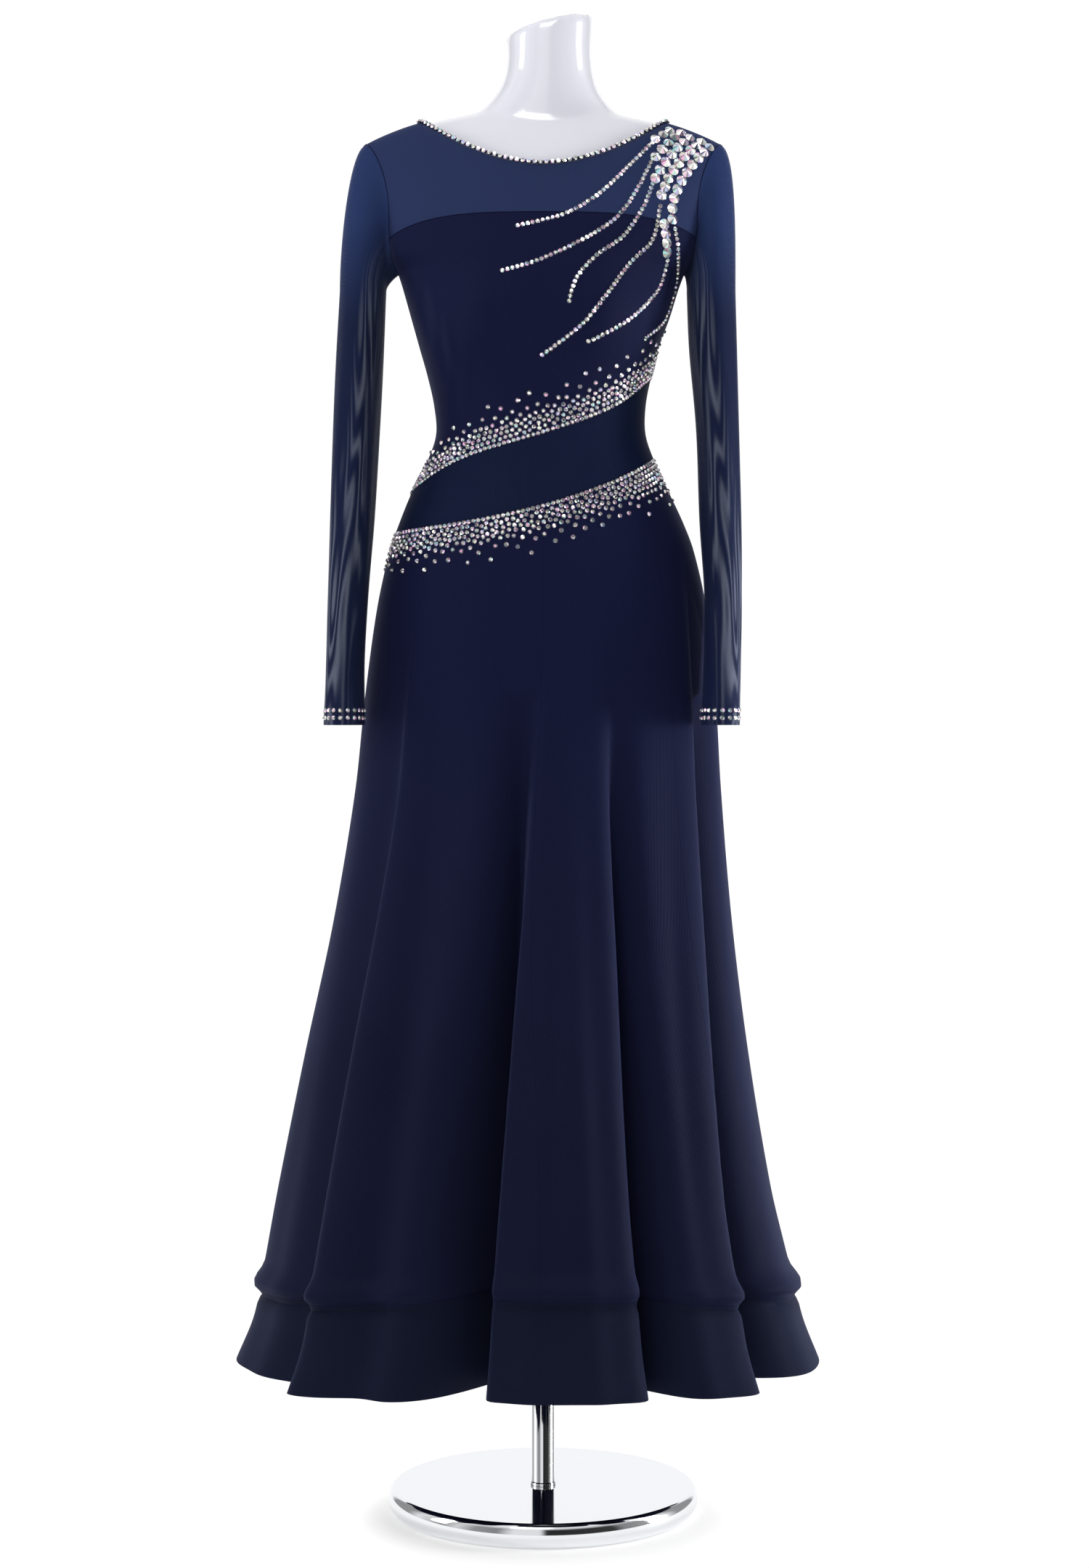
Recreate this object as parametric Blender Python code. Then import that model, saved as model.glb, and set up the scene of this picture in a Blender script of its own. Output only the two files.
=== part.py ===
"""Long-sleeved ballroom dance gown on a limbless dress form with a pole stand.

Metres, +Z up, the gown's front faces -Y, and the origin is the centre of the round base's underside.
Every cut piece is a thin closed wall. The walls come from a few section tables: the torso and skirt
outline, the shoulders, the sleeves, and the skirt's folds.
"""
import math

import bmesh
import bpy
from mathutils import Vector
from mathutils.geometry import delaunay_2d_cdt

# Thicknesses and clearances
CLOTH = 0.0012
BAND_CLOTH = 0.0020
SEAM_GAP = 0.00036
FORM_GAP = 0.0038
SHOULDER_GAP = 0.0017

# Heights
UNDERARM_Z = 1.357
BUST_Z = 1.300
HEM_Z = 0.167
BAND_TOP_Z = 0.256
FORM_BOTTOM_Z = 0.905
SHOULDER_POINT_X = 0.139

# Grid densities, and the steps in degrees and metres over which a section's normal is taken
BODY_COLUMNS = 18
GORE_COLUMNS = 10
ANGLE_STEP = 0.4
HEIGHT_STEP = 0.002

# Torso and skirt outline: half widths to each side of the pole's axis, depths to the front and back,
# and the power of the section's curve, where 2 is an ellipse
OUTLINE_COLUMNS = ("z", "left", "right", "front", "back", "power")
OUTLINE = (
    (0.167, 0.337, 0.303, 0.236, 0.238, 2.15),
    (0.210, 0.319, 0.286, 0.229, 0.231, 2.15),
    (0.250, 0.310, 0.276, 0.223, 0.225, 2.15),
    (0.285, 0.304, 0.267, 0.218, 0.220, 2.15),
    (0.357, 0.291, 0.250, 0.207, 0.210, 2.10),
    (0.501, 0.262, 0.226, 0.185, 0.188, 2.05),
    (0.645, 0.231, 0.208, 0.162, 0.163, 2.05),
    (0.789, 0.207, 0.196, 0.137, 0.140, 2.05),
    (0.893, 0.196, 0.190, 0.119, 0.127, 2.10),
    (0.989, 0.183, 0.180, 0.107, 0.123, 2.15),
    (1.053, 0.169, 0.166, 0.100, 0.117, 2.15),
    (1.085, 0.158, 0.154, 0.095, 0.109, 2.15),
    (1.117, 0.145, 0.139, 0.090, 0.098, 2.15),
    (1.149, 0.129, 0.124, 0.087, 0.088, 2.15),
    (1.181, 0.118, 0.113, 0.086, 0.081, 2.15),
    (1.213, 0.120, 0.113, 0.090, 0.079, 2.15),
    (1.245, 0.127, 0.119, 0.098, 0.080, 2.20),
    (1.277, 0.136, 0.127, 0.107, 0.083, 2.25),
    (1.309, 0.145, 0.139, 0.112, 0.085, 2.25),
    (1.341, 0.154, 0.149, 0.110, 0.085, 2.25),
    (1.357, 0.159, 0.155, 0.108, 0.084, 2.25),
)

# Shoulders, above the underarm: rise is the share of the height up to the shoulder's ridge, the edge
# columns place the armhole seam, the centre columns the middle of the chest and back, and turn is
# the angle through which the section has turned at the armhole
SHOULDER_COLUMNS = ("rise", "edge_x", "edge_front", "edge_back", "front", "back", "turn")
SHOULDERS = (
    (0.00, 0.1570, 0.0000, 0.0000, 0.108, 0.084, 90.0),
    (0.10, 0.1640, 0.0260, 0.0250, 0.105, 0.085, 86.0),
    (0.25, 0.1670, 0.0410, 0.0400, 0.098, 0.086, 82.0),
    (0.45, 0.1675, 0.0490, 0.0480, 0.087, 0.084, 78.0),
    (0.62, 0.1715, 0.0500, 0.0500, 0.075, 0.079, 76.0),
    (0.78, 0.1790, 0.0450, 0.0460, 0.062, 0.071, 75.0),
    (0.90, 0.1870, 0.0340, 0.0350, 0.046, 0.055, 75.0),
    (0.97, 0.1930, 0.0200, 0.0210, 0.027, 0.033, 75.0),
    (1.00, 0.1970, 0.0003, 0.0003, 0.0004, 0.0004, 75.0),
)
RIDGE_COLUMNS = ("x", "z")
RIDGE = (
    (0.000, 1.545),
    (0.050, 1.542),
    (0.100, 1.533),
    (0.139, 1.524),
    (0.170, 1.513),
    (0.197, 1.500),
    (0.220, 1.484),
)

# Gentle bust of a general figure
BUST_X = 0.073
BUST_SPREAD_X = 0.042
BUST_SPREAD_Z = 0.050
BUST_REACH = 0.015

# Necklines: the lowest point at the centre, and how the curve climbs to the shoulder
NECK_FRONT_Z = 1.4655
NECK_BACK_Z = 1.4980
NECK_POWER = 1.9

# Seam between the sheer yoke and the bodice
STYLE_CENTRE_Z = 1.411
STYLE_EDGE_DROP = 0.020
STYLE_POWER = 4.0

# The two slanting seams of the sheer waist insert: mean height, climb to the right side, the extra
# climb that comes only near the sides, and dip in front
UPPER_CUT = {"mean": 1.1794, "climb": 0.0360, "side_climb": 0.0287, "dip": 0.0054}
LOWER_CUT = {"mean": 1.1145, "climb": 0.0410, "side_climb": 0.0, "dip": 0.0150}
SIDE_CLIMB_POWER = 5

# Skirt folds, one row for each valley: its angle round the body (0 is the front, + is to the right) at
# the hip and at the hem, its depth as a share of the radius, the height where it starts, how many
# degrees it spreads to each side, then the crest beside it: its height, degrees away and spread
FOLD_COLUMNS = (
    "hip", "hem", "depth", "start", "spread_left", "spread_right", "crest", "crest_away", "crest_spread",
)
FOLDS = (
    (-52.0, -50.5, 0.040, 0.980, 20.0, 5.0, 0.105, 6.5, 7.0),
    (-17.0, -14.5, 0.320, 0.880, 5.5, 5.5, 0.100, -8.0, 8.0),
    (29.0, 26.5, 0.240, 0.960, 4.5, 4.5, 0.045, -6.0, 6.0),
    (70.0, 49.5, 0.055, 0.920, 5.0, 14.0, 0.090, -8.5, 10.0),
    (118.0, 116.0, 0.150, 0.900, 11.0, 6.0, 0.060, 8.0, 7.0),
    (156.0, 153.0, 0.220, 0.880, 6.0, 12.0, 0.050, -8.0, 7.0),
    (-160.0, -157.0, 0.200, 0.900, 12.0, 6.0, 0.050, 8.0, 7.0),
    (-120.0, -118.0, 0.140, 0.920, 6.0, 11.0, 0.070, -8.0, 7.0),
)
# Soft pleats in the open faces of the flutes
SOFT_COLUMNS = ("hip", "hem", "depth", "start", "spread")
SOFT_FOLDS = (
    (-33.0, -34.0, 0.016, 0.800, 5.0),
    (10.0, 7.0, 0.028, 0.820, 6.0),
    (45.0, 44.0, 0.020, 0.700, 3.5),
    (-72.0, -72.0, 0.018, 0.700, 8.0),
    (82.0, 62.0, 0.010, 0.760, 6.0),
    (136.0, 135.0, 0.022, 0.780, 7.0),
    (178.0, -178.0, 0.024, 0.760, 8.0),
    (-138.0, -137.0, 0.022, 0.760, 7.0),
)
FOLD_TOP_Z = 1.0
FOLD_GROWTH = 1.35
FOLD_EASE = 0.85
SOFT_GROWTH = 1.4

# The skirt blouses over the stiff hem band's seam
BLOUSE_REACH = 0.0075
BLOUSE_ABOVE = 0.014
BLOUSE_SPREAD = 0.013
SEAM_DIP = 0.0040
SEAM_DIP_SPREAD = 0.007
BAND_SEAM_CLIMB = 0.013

# Sleeves: outer and inner edge seen from the front, the middle's place in depth, and half the depth
SLEEVE_COLUMNS_NAMES = ("z", "outer", "inner", "middle_y", "half_depth")
LEFT_SLEEVE = (
    (1.338, 0.2235, 0.1725, -0.004, 0.0560),
    (1.270, 0.2270, 0.1745, -0.009, 0.0545),
    (1.180, 0.2306, 0.1790, -0.018, 0.0505),
    (1.083, 0.2336, 0.1837, -0.032, 0.0455),
    (1.003, 0.2348, 0.1891, -0.048, 0.0410),
    (0.924, 0.2352, 0.1927, -0.066, 0.0365),
    (0.862, 0.2360, 0.1915, -0.078, 0.0335),
)
RIGHT_SLEEVE = (
    (1.338, 0.2117, 0.1580, -0.004, 0.0560),
    (1.270, 0.2137, 0.1600, -0.009, 0.0545),
    (1.180, 0.2154, 0.1669, -0.020, 0.0505),
    (1.083, 0.2157, 0.1699, -0.038, 0.0455),
    (1.003, 0.2141, 0.1735, -0.062, 0.0410),
    (0.924, 0.2120, 0.1715, -0.082, 0.0365),
    (0.862, 0.2105, 0.1686, -0.092, 0.0335),
)
SLEEVE_START_Z = 1.338
SLEEVE_HEAD_ROWS = 7
SLEEVE_HEAD_LEAVE = 0.35
SLEEVE_HEAD_ARRIVE = 1.0
SLEEVE_TUBE_HEIGHTS = (1.300, 1.255, 1.205, 1.150, 1.090, 1.030, 0.970, 0.910, 0.862)

# Rolled binding along the neckline
BINDING_RADIUS = 0.0017
BINDING_SIDES = 6

# Large faceted stones on the viewer's right shoulder: staggered columns, a count for each
STONE_RADIUS = 0.0043
STONE_HEIGHT = 0.0032
STONE_PITCH = 0.0100
STONE_SIDES = 6
STONE_COLUMNS = (
    # x, distance down the cloth from the shoulder seam to the first stone, count
    (0.1290, 0.0515, 4),
    (0.1377, 0.0365, 7),
    (0.1464, 0.0115, 11),
    (0.1551, 0.0165, 8),
    (0.1638, 0.0115, 4),
    (0.1725, 0.0165, 3),
    (0.1812, 0.0115, 2),
)
STONE_CLEAR = 0.0065

# Dress form's neck: a flared column with a slanting cut
NECK_COLUMNS = ("z", "half_width", "half_depth", "middle_x", "middle_y")
NECK = (
    (1.440, 0.075, 0.045, 0.000, 0.010),
    (1.490, 0.100, 0.056, 0.002, 0.008),
    (1.514, 0.099, 0.056, 0.003, 0.008),
    (1.530, 0.083, 0.054, 0.004, 0.007),
    (1.546, 0.066, 0.052, 0.005, 0.005),
    (1.562, 0.054, 0.050, 0.006, 0.003),
    (1.580, 0.048, 0.049, 0.007, 0.002),
    (1.602, 0.046, 0.049, 0.007, 0.000),
)
NECK_TOP_LEFT_Z = 1.620
NECK_TOP_RIGHT_Z = 1.644
NECK_TOP_HALF = 0.048
NECK_SIDES = 28

# Stand
BASE_RADIUS = 0.1704
BASE_HEIGHT = 0.026
BASE_SIDES = 48
POLE_RADIUS = 0.01275
POLE_SIDES = 24
PLATE_RADIUS = 0.045
PLATE_HEIGHT = 0.006
COLLAR_RADIUS = 0.021
COLLAR_HEIGHT = 0.034
STAND_GAP = 0.0003


class Table:
    """A short table with named columns, read as smooth curves over its first column."""

    def __init__(self, names, rows):
        self.names = names
        self.rows = sorted(rows)
        self.keys = [row[0] for row in self.rows]

    def slope(self, column, index):
        last = len(self.rows) - 1
        before = max(index - 1, 0)
        after = min(index + 1, last)
        span = self.keys[after] - self.keys[before]
        return (self.rows[after][column] - self.rows[before][column]) / span

    def read(self, name, key):
        column = self.names.index(name)
        key = min(max(key, self.keys[0]), self.keys[-1])
        index = 0
        while index < len(self.keys) - 2 and key > self.keys[index + 1]:
            index += 1
        low = self.keys[index]
        span = self.keys[index + 1] - low
        t = (key - low) / span
        start = self.rows[index][column]
        end = self.rows[index + 1][column]
        leave = self.slope(column, index) * span
        arrive = self.slope(column, index + 1) * span
        value = start * (1 + 2 * t) * (1 - t) ** 2
        value += leave * t * (1 - t) ** 2
        value += end * t * t * (3 - 2 * t)
        value += arrive * t * t * (t - 1)
        return value


outline = Table(OUTLINE_COLUMNS, OUTLINE)
shoulders = Table(SHOULDER_COLUMNS, SHOULDERS)
ridge = Table(RIDGE_COLUMNS, RIDGE)
folds = [dict(zip(FOLD_COLUMNS, row)) for row in FOLDS]
soft_folds = [dict(zip(SOFT_COLUMNS, row)) for row in SOFT_FOLDS]


def smooth_step(value):
    value = min(max(value, 0.0), 1.0)
    return value * value * (3 - 2 * value)


def angle_between(angle, centre):
    """Signed difference of two angles in degrees, from -180 to 180."""
    return (angle - centre + 180.0) % 360.0 - 180.0


def fold_growth(fold, z, rate):
    """How far a fold has opened at a height, from 0 where it starts to 1 near the hem."""
    return smooth_step((fold["start"] - z) / (fold["start"] - HEM_Z) * rate)


def fold_angle(fold, z):
    """Angle in degrees of a fold's middle at a height."""
    drop = smooth_step((FOLD_TOP_Z - z) / (FOLD_TOP_Z - HEM_Z))
    return fold["hip"] + angle_between(fold["hem"], fold["hip"]) * drop


def fold_radius(angle, z):
    """Share by which the skirt's folds pull a section in or push it out at an angle in degrees."""
    share = 1.0
    for fold in folds:
        grow = fold_growth(fold, z, FOLD_GROWTH) ** FOLD_EASE
        centre = fold_angle(fold, z)
        away = angle_between(angle, centre)
        spread = fold["spread_left"] if away < 0 else fold["spread_right"]
        share -= fold["depth"] * grow * math.exp(-((away / spread) ** 2))
        beside = angle_between(angle, centre + fold["crest_away"]) / fold["crest_spread"]
        share += fold["crest"] * grow * math.exp(-(beside ** 2))
    for fold in soft_folds:
        grow = fold_growth(fold, z, SOFT_GROWTH)
        away = angle_between(angle, fold_angle(fold, z))
        share -= fold["depth"] * grow * math.exp(-((away / fold["spread"]) ** 2))
    return share


def band_seam_z(angle):
    """Height of the hem band's seam, a little higher in front and behind than at the sides."""
    return BAND_TOP_Z + BAND_SEAM_CLIMB * math.cos(math.radians(2 * angle))


def blouse(angle, z):
    """How far the skirt stands out above its band's seam, and dips at the seam."""
    above = z - band_seam_z(angle) - BLOUSE_ABOVE
    out = BLOUSE_REACH * math.exp(-((above / BLOUSE_SPREAD) ** 2))
    seam = (z - band_seam_z(angle)) / SEAM_DIP_SPREAD
    return out - SEAM_DIP * math.exp(-(seam ** 2))


def bust(x, y, z):
    """How far the bust stands forward at a point of the front."""
    if y > 0:
        return 0.0
    across = (abs(x) - BUST_X) / BUST_SPREAD_X
    up = (z - BUST_Z) / BUST_SPREAD_Z
    return BUST_REACH * math.exp(-(across ** 2) - up ** 2)


def section_point(angle, z, inset=0.0):
    """Point of the torso or skirt at an angle in degrees and a height, moved in by inset."""
    turn = math.radians(angle)
    sine = math.sin(turn)
    cosine = math.cos(turn)
    power = outline.read("power", z)
    width = outline.read("left" if sine < 0 else "right", z)
    depth = outline.read("front" if cosine > 0 else "back", z)
    scale = (abs(sine) ** power + abs(cosine) ** power) ** (-1 / power)
    scale *= fold_radius(angle, z)
    reach = blouse(angle, z) - inset
    x = (width + reach) * sine * scale
    y = -(depth + reach) * cosine * scale
    return Vector((x, y - bust(x, y, z), z))


def shoulder_point(across, rise_angle, front, inset=0.0, top_inset=0.0):
    """Point above the underarm. across runs from -1 to 1 between the armholes, rise_angle is 0 at
    the underarm and 90 at the shoulder's ridge."""
    rise = math.sin(math.radians(rise_angle))
    side = "left" if across < 0 else "right"
    edge_x = shoulders.read("edge_x", rise)
    edge_x += (outline.read(side, UNDERARM_Z) - SHOULDERS[0][1]) * max(0.0, 1 - rise / 0.3)
    edge_y = shoulders.read("edge_front" if front else "edge_back", rise)
    centre_y = shoulders.read("front" if front else "back", rise)
    turn = math.radians(shoulders.read("turn", rise))
    power = 2 + (outline.read("power", UNDERARM_Z) - 2) * max(0.0, 1 - rise / 0.5)
    swing = across * turn
    scale = (abs(math.sin(swing)) ** power + abs(math.cos(swing)) ** power) ** (-1 / power)
    edge_scale = (math.sin(turn) ** power + math.cos(turn) ** power) ** (-1 / power)
    share_x = math.sin(swing) * scale / (math.sin(turn) * edge_scale)
    edge_c = math.cos(turn) * edge_scale
    share_y = (math.cos(swing) * scale - edge_c) / (1 - edge_c)
    x = (edge_x - inset) * share_x
    y = edge_y + (centre_y - edge_y) * share_y - inset
    y = max(y, 0.0) if inset else y
    top = ridge.read("z", abs(x)) - top_inset
    z = UNDERARM_Z + (top - UNDERARM_Z) * rise
    y = -y if front else y
    return Vector((x, y - bust(x, y, z), z))


def normal_of(surface, u, v, step_u, step_v):
    """Unit normal of surface(u, v), pointing away from the pole's axis or upwards."""
    du = surface(u + step_u, v) - surface(u - step_u, v)
    dv = surface(u, v + step_v) - surface(u, v - step_v)
    return du.cross(dv).normalized()


def section_normal(angle, z):
    return normal_of(section_point, angle, z, ANGLE_STEP, HEIGHT_STEP)


def remove_scene_objects():
    for item in list(bpy.data.objects):
        bpy.data.objects.remove(item, do_unlink=True)


def make_material(name, colour, roughness, metallic=0.0):
    material = bpy.data.materials.new(name)
    material.use_nodes = True
    shader = material.node_tree.nodes["Principled BSDF"]
    shader.inputs["Base Color"].default_value = (*colour, 1.0)
    shader.inputs["Roughness"].default_value = roughness
    shader.inputs["Metallic"].default_value = metallic
    return material


def add_object(name, points, faces, material, smooth=True):
    """Make a named object from points and faces, with its faces turned outwards."""
    mesh = bpy.data.meshes.new(name)
    mesh.from_pydata([tuple(point) for point in points], [], faces)
    shape = bmesh.new()
    shape.from_mesh(mesh)
    bmesh.ops.triangulate(shape, faces=shape.faces[:])
    bmesh.ops.recalc_face_normals(shape, faces=shape.faces[:])
    shape.to_mesh(mesh)
    shape.free()
    if smooth:
        mesh.shade_smooth()
    mesh.materials.append(material)
    item = bpy.data.objects.new(name, mesh)
    bpy.context.scene.collection.objects.link(item)
    return item


def grid_faces(rows, columns, offset, closed):
    """Quads of a grid of points numbered row by row from offset."""
    faces = []
    spans = columns if closed else columns - 1
    for row in range(rows - 1):
        for column in range(spans):
            here = offset + row * columns + column
            beside = offset + row * columns + (column + 1) % columns
            faces.append((here, beside, beside + columns, here + columns))
    return faces


def wall(name, outer, inner, material):
    """Closed wall between two grids of points with the same rows and columns."""
    rows = len(outer)
    columns = len(outer[0])
    half = rows * columns
    points = [point for row in outer for point in row]
    points += [point for row in inner for point in row]
    faces = grid_faces(rows, columns, 0, False)
    faces += [tuple(reversed(face)) for face in grid_faces(rows, columns, half, False)]
    edge = list(range(columns))
    edge +=[row * columns + columns - 1 for row in range(1, rows)]
    edge += [(rows - 1) * columns + column for column in range(columns - 2, -1, -1)]
    edge += [row * columns for row in range(rows - 2, 0, -1)]
    for index, start in enumerate(edge):
        end = edge[(index + 1) % len(edge)]
        faces.append((start, start + half, end + half, end))
    return add_object(name, points, faces, material)


def tube_wall(name, outer, inner, material):
    """Closed wall of a tube: rings of points, open at both ends."""
    rows = len(outer)
    columns = len(outer[0])
    half = rows * columns
    points = [point for row in outer for point in row]
    points += [point for row in inner for point in row]
    faces = grid_faces(rows, columns, 0, True)
    faces += [tuple(reversed(face)) for face in grid_faces(rows, columns, half, True)]
    for first in (0, (rows - 1) * columns):
        for column in range(columns):
            start = first + column
            end = first + (column + 1) % columns
            faces.append((start, start + half, end + half, end))
    return add_object(name, points, faces, material)


def closed_loft(name, rings, material):
    """Solid through rings of points, with a fan closing each end."""
    columns = len(rings[0])
    points = [point for ring in rings for point in ring]
    faces = grid_faces(len(rings), columns, 0, True)
    for first in (0, (len(rings) - 1) * columns):
        centre = sum((points[first + column] for column in range(columns)), Vector()) / columns
        points.append(centre)
        hub = len(points) - 1
        for column in range(columns):
            faces.append((first + column, first + (column + 1) % columns, hub))
    return add_object(name, points, faces, material)


def cut_height(cut, angle):
    """Height of a slanting waist seam at an angle in degrees round the body."""
    across = math.sin(math.radians(angle))
    climb = cut["climb"] * across + cut["side_climb"] * across ** SIDE_CLIMB_POWER
    return cut["mean"] + climb - cut["dip"] * (1 - across ** 2)


def section_wall_rows(angles, heights_at, thickness):
    """Outer and inner grids of a wall on the torso or skirt. heights_at(angle) lists its heights."""
    outer = []
    inner = []
    columns = [heights_at(angle) for angle in angles]
    for row in range(len(columns[0])):
        outer_row = []
        inner_row = []
        for angle, heights in zip(angles, columns):
            z = heights[row]
            point = section_point(angle, z)
            normal = section_normal(angle, z)
            outer_row.append(point)
            inner_row.append(point - normal * thickness)
        outer.append(outer_row)
        inner.append(inner_row)
    return outer, inner


def spaced(start, end, count):
    return [start + (end - start) * index / count for index in range(count + 1)]


def edge_gap(angle, z):
    """Degrees that half a seam gap takes at an angle and height."""
    step = section_point(angle + 0.5, z) - section_point(angle - 0.5, z)
    return SEAM_GAP / 2 / max(step.length, 0.0005)


def gore_angles(first, last, z):
    """Angles of a gore's columns, kept half a seam gap inside its two seams."""
    angles = spaced(first, last, GORE_COLUMNS)
    angles[0] += edge_gap(first, z)
    angles[-1] -= edge_gap(last, z)
    return angles


def gore_wall(first, last, heights_at, thickness):
    """Grids of a gore between two seam angles, each row with its own seam gaps."""
    rows = len(heights_at(first))
    outer = []
    inner = []
    for row in range(rows):
        outer_row = []
        inner_row = []
        for angle in gore_angles(first, last, heights_at(first)[row]):
            z = heights_at(angle)[row]
            point = section_point(angle, z)
            normal = section_normal(angle, z)
            outer_row.append(point)
            inner_row.append(point - normal * thickness)
        outer.append(outer_row)
        inner.append(inner_row)
    return outer, inner


GORE_SHARES = (0.0, 0.07, 0.15, 0.24, 0.34, 0.45, 0.57, 0.69, 0.81, 0.91, 0.965, 0.985, 1.0)
BAND_SHARES = (0.0, 0.12, 0.5, 1.0)
INSERT_ROWS = 3


def gore_heights(angle):
    top = cut_height(LOWER_CUT, angle) - SEAM_GAP / 2
    bottom = band_seam_z(angle) + SEAM_GAP / 2
    return [top + (bottom - top) * share for share in GORE_SHARES]


def band_heights(angle):
    top = band_seam_z(angle) - SEAM_GAP / 2
    return [top + (HEM_Z - top) * share for share in BAND_SHARES]


def make_skirt(jersey):
    """Eight flared gores and the eight stiff pieces of the hem band."""
    for index in range(8):
        first = 45.0 * index
        last = first + 45.0
        outer, inner = gore_wall(first, last, gore_heights, CLOTH)
        wall(f"gore_{index + 1}", outer, inner, jersey)
        outer, inner = gore_wall(first, last, band_heights, BAND_CLOTH)
        wall(f"hem_band_{index + 1}", outer, inner, jersey)


def insert_heights(angle):
    low = cut_height(LOWER_CUT, angle) + SEAM_GAP / 2
    high = cut_height(UPPER_CUT, angle) - SEAM_GAP / 2
    return spaced(low, high, INSERT_ROWS)


def make_insert(mesh_cloth):
    """Sheer slanting waist insert, a front and a back."""
    for name, first, last in (("waist_insert_front", -90.0, 90.0), ("waist_insert_back", 90.0, 270.0)):
        angles = spaced(first, last, BODY_COLUMNS)
        gap = edge_gap(90.0, LOWER_CUT["mean"])
        angles[0] += gap
        angles[-1] -= gap
        outer, inner = section_wall_rows(angles, insert_heights, CLOTH)
        wall(name, outer, inner, mesh_cloth)


def rise_for_height(across, front, height_at):
    """Rise angle at which a shoulder column meets a height that depends on x."""
    low = 0.0
    high = 90.0
    for _ in range(40):
        middle = (low + high) / 2
        point = shoulder_point(across, middle, front)
        if point.z < height_at(point.x):
            low = middle
        else:
            high = middle
    return (low + high) / 2


def front_neck_height(x):
    share = abs(x) / SHOULDER_POINT_X
    corner = ridge.read("z", SHOULDER_POINT_X)
    return NECK_FRONT_Z + (corner - NECK_FRONT_Z) * share ** NECK_POWER


def back_neck_height(x):
    share = abs(x) / SHOULDER_POINT_X
    corner = ridge.read("z", SHOULDER_POINT_X)
    return NECK_BACK_Z + (corner - NECK_BACK_Z) * share ** NECK_POWER


def style_height(x):
    share = min(abs(x) / SHOULDERS[3][1], 1.0)
    return STYLE_CENTRE_Z - STYLE_EDGE_DROP * share ** STYLE_POWER


def shoulder_corner():
    """Column, from 0 to 1, where the neckline meets the shoulder seam."""
    low = 0.0
    high = 1.0
    for _ in range(40):
        middle = (low + high) / 2
        if shoulder_point(middle, 90.0, True).x < SHOULDER_POINT_X:
            low = middle
        else:
            high = middle
    return (low + high) / 2


CORNER = shoulder_corner()
NECK_SPANS = 16
NECK_PLACES = [CORNER * math.sin(math.radians(turn)) for turn in spaced(-90.0, 90.0, NECK_SPANS)]
ACROSS = spaced(-1.0, -CORNER, 4)[:-1] + NECK_PLACES + spaced(CORNER, 1.0, 4)[1:]
TOP_RISE = 89.6


def top_rise(across, front):
    """Rise angle of the yoke's upper edge: the neckline, or the shoulder seam beside it."""
    if abs(across) >= CORNER - 1e-6:
        return TOP_RISE
    height_at = front_neck_height if front else back_neck_height
    return min(rise_for_height(across, front, height_at), TOP_RISE)


def shoulder_normal(across, rise_angle, front):
    """Outward normal of the shoulders' surface."""
    def surface(u, v):
        return shoulder_point(u, v, front)
    limited = min(max(across, -0.995), 0.995)
    normal = normal_of(surface, limited, min(rise_angle, 88.5), 0.004, 0.5)
    return normal if front else -normal


def gap_across(front, across, rise_angle):
    """Column inset that half a seam gap takes at the armhole."""
    step = shoulder_point(across, rise_angle, front) - shoulder_point(across * 0.99, rise_angle, front)
    return SEAM_GAP / 2 * 0.01 / max(step.length, 0.0002)


BODICE_LOWER_ROWS = 7
BODICE_UPPER_ROWS = 3
# Half a seam gap as a rise angle, and the widest body angle at the side seam and at the underarm
STYLE_GAP_RISE = 0.12
SIDE_LIMIT = 90.0 - edge_gap(90.0, BUST_Z)
UNDERARM_LIMIT = 89.85


def bodice_on_body(across, z_share, limit, front):
    """Outer point and normal of the bodice below the underarm, at a share of its height."""
    angle = min(max(across * 90.0, -limit), limit)
    angle = angle if front else 180.0 - angle
    low = cut_height(UPPER_CUT, angle) + SEAM_GAP / 2
    z = low + (UNDERARM_Z - low) * z_share
    return section_point(angle, z), section_normal(angle, min(z, UNDERARM_Z - 0.003))


def bodice_on_shoulders(across, z_share, front):
    """Outer point and normal of the bodice above the underarm, up to the style line."""
    column = across
    if abs(column) > 1 - 1e-9:
        column *= 1 - gap_across(front, column, 1.0)
    style = rise_for_height(column, front, style_height)
    rise = (style - STYLE_GAP_RISE) * z_share
    return shoulder_point(column, rise, front), shoulder_normal(column, rise, front)


def bodice_rows(front):
    """Grids of the bodice: below the underarm on the torso's sections, above it on the shoulders."""
    rows = []
    for share in spaced(0.0, 1.0, BODICE_LOWER_ROWS):
        limit = SIDE_LIMIT if share < 1 else UNDERARM_LIMIT
        rows.append([bodice_on_body(across, share, limit, front) for across in ACROSS])
    for share in spaced(0.0, 1.0, BODICE_UPPER_ROWS)[1:]:
        rows.append([bodice_on_shoulders(across, share, front) for across in ACROSS])
    outer = [[point for point, normal in row] for row in rows]
    inner = [[point - normal * CLOTH for point, normal in row] for row in rows]
    return outer, inner


def make_bodice(jersey):
    for name, front in (("bodice_front", True), ("bodice_back", False)):
        outer, inner = bodice_rows(front)
        wall(name, outer, inner, jersey)


def yoke_rise(across, share, front):
    """Rise angle at a share of the way from the style line to the yoke's upper edge."""
    low = rise_for_height(across, front, style_height) + STYLE_GAP_RISE
    high = top_rise(across, front)
    return low + (high - low) * share


def yoke_column(across, share, front):
    """A yoke column's place, kept half a seam gap from the armhole."""
    if abs(across) < 1 - 1e-9:
        return across
    return across * (1 - gap_across(front, across, yoke_rise(across, share, front)))


def yoke_outer(across, share, front):
    column = yoke_column(across, share, front)
    rise = yoke_rise(across, share, front)
    return shoulder_point(column, rise, front), shoulder_normal(column, rise, front)


YOKE_SHARES = (0.0, 0.2, 0.4, 0.6, 0.78, 0.9, 1.0)


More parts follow.
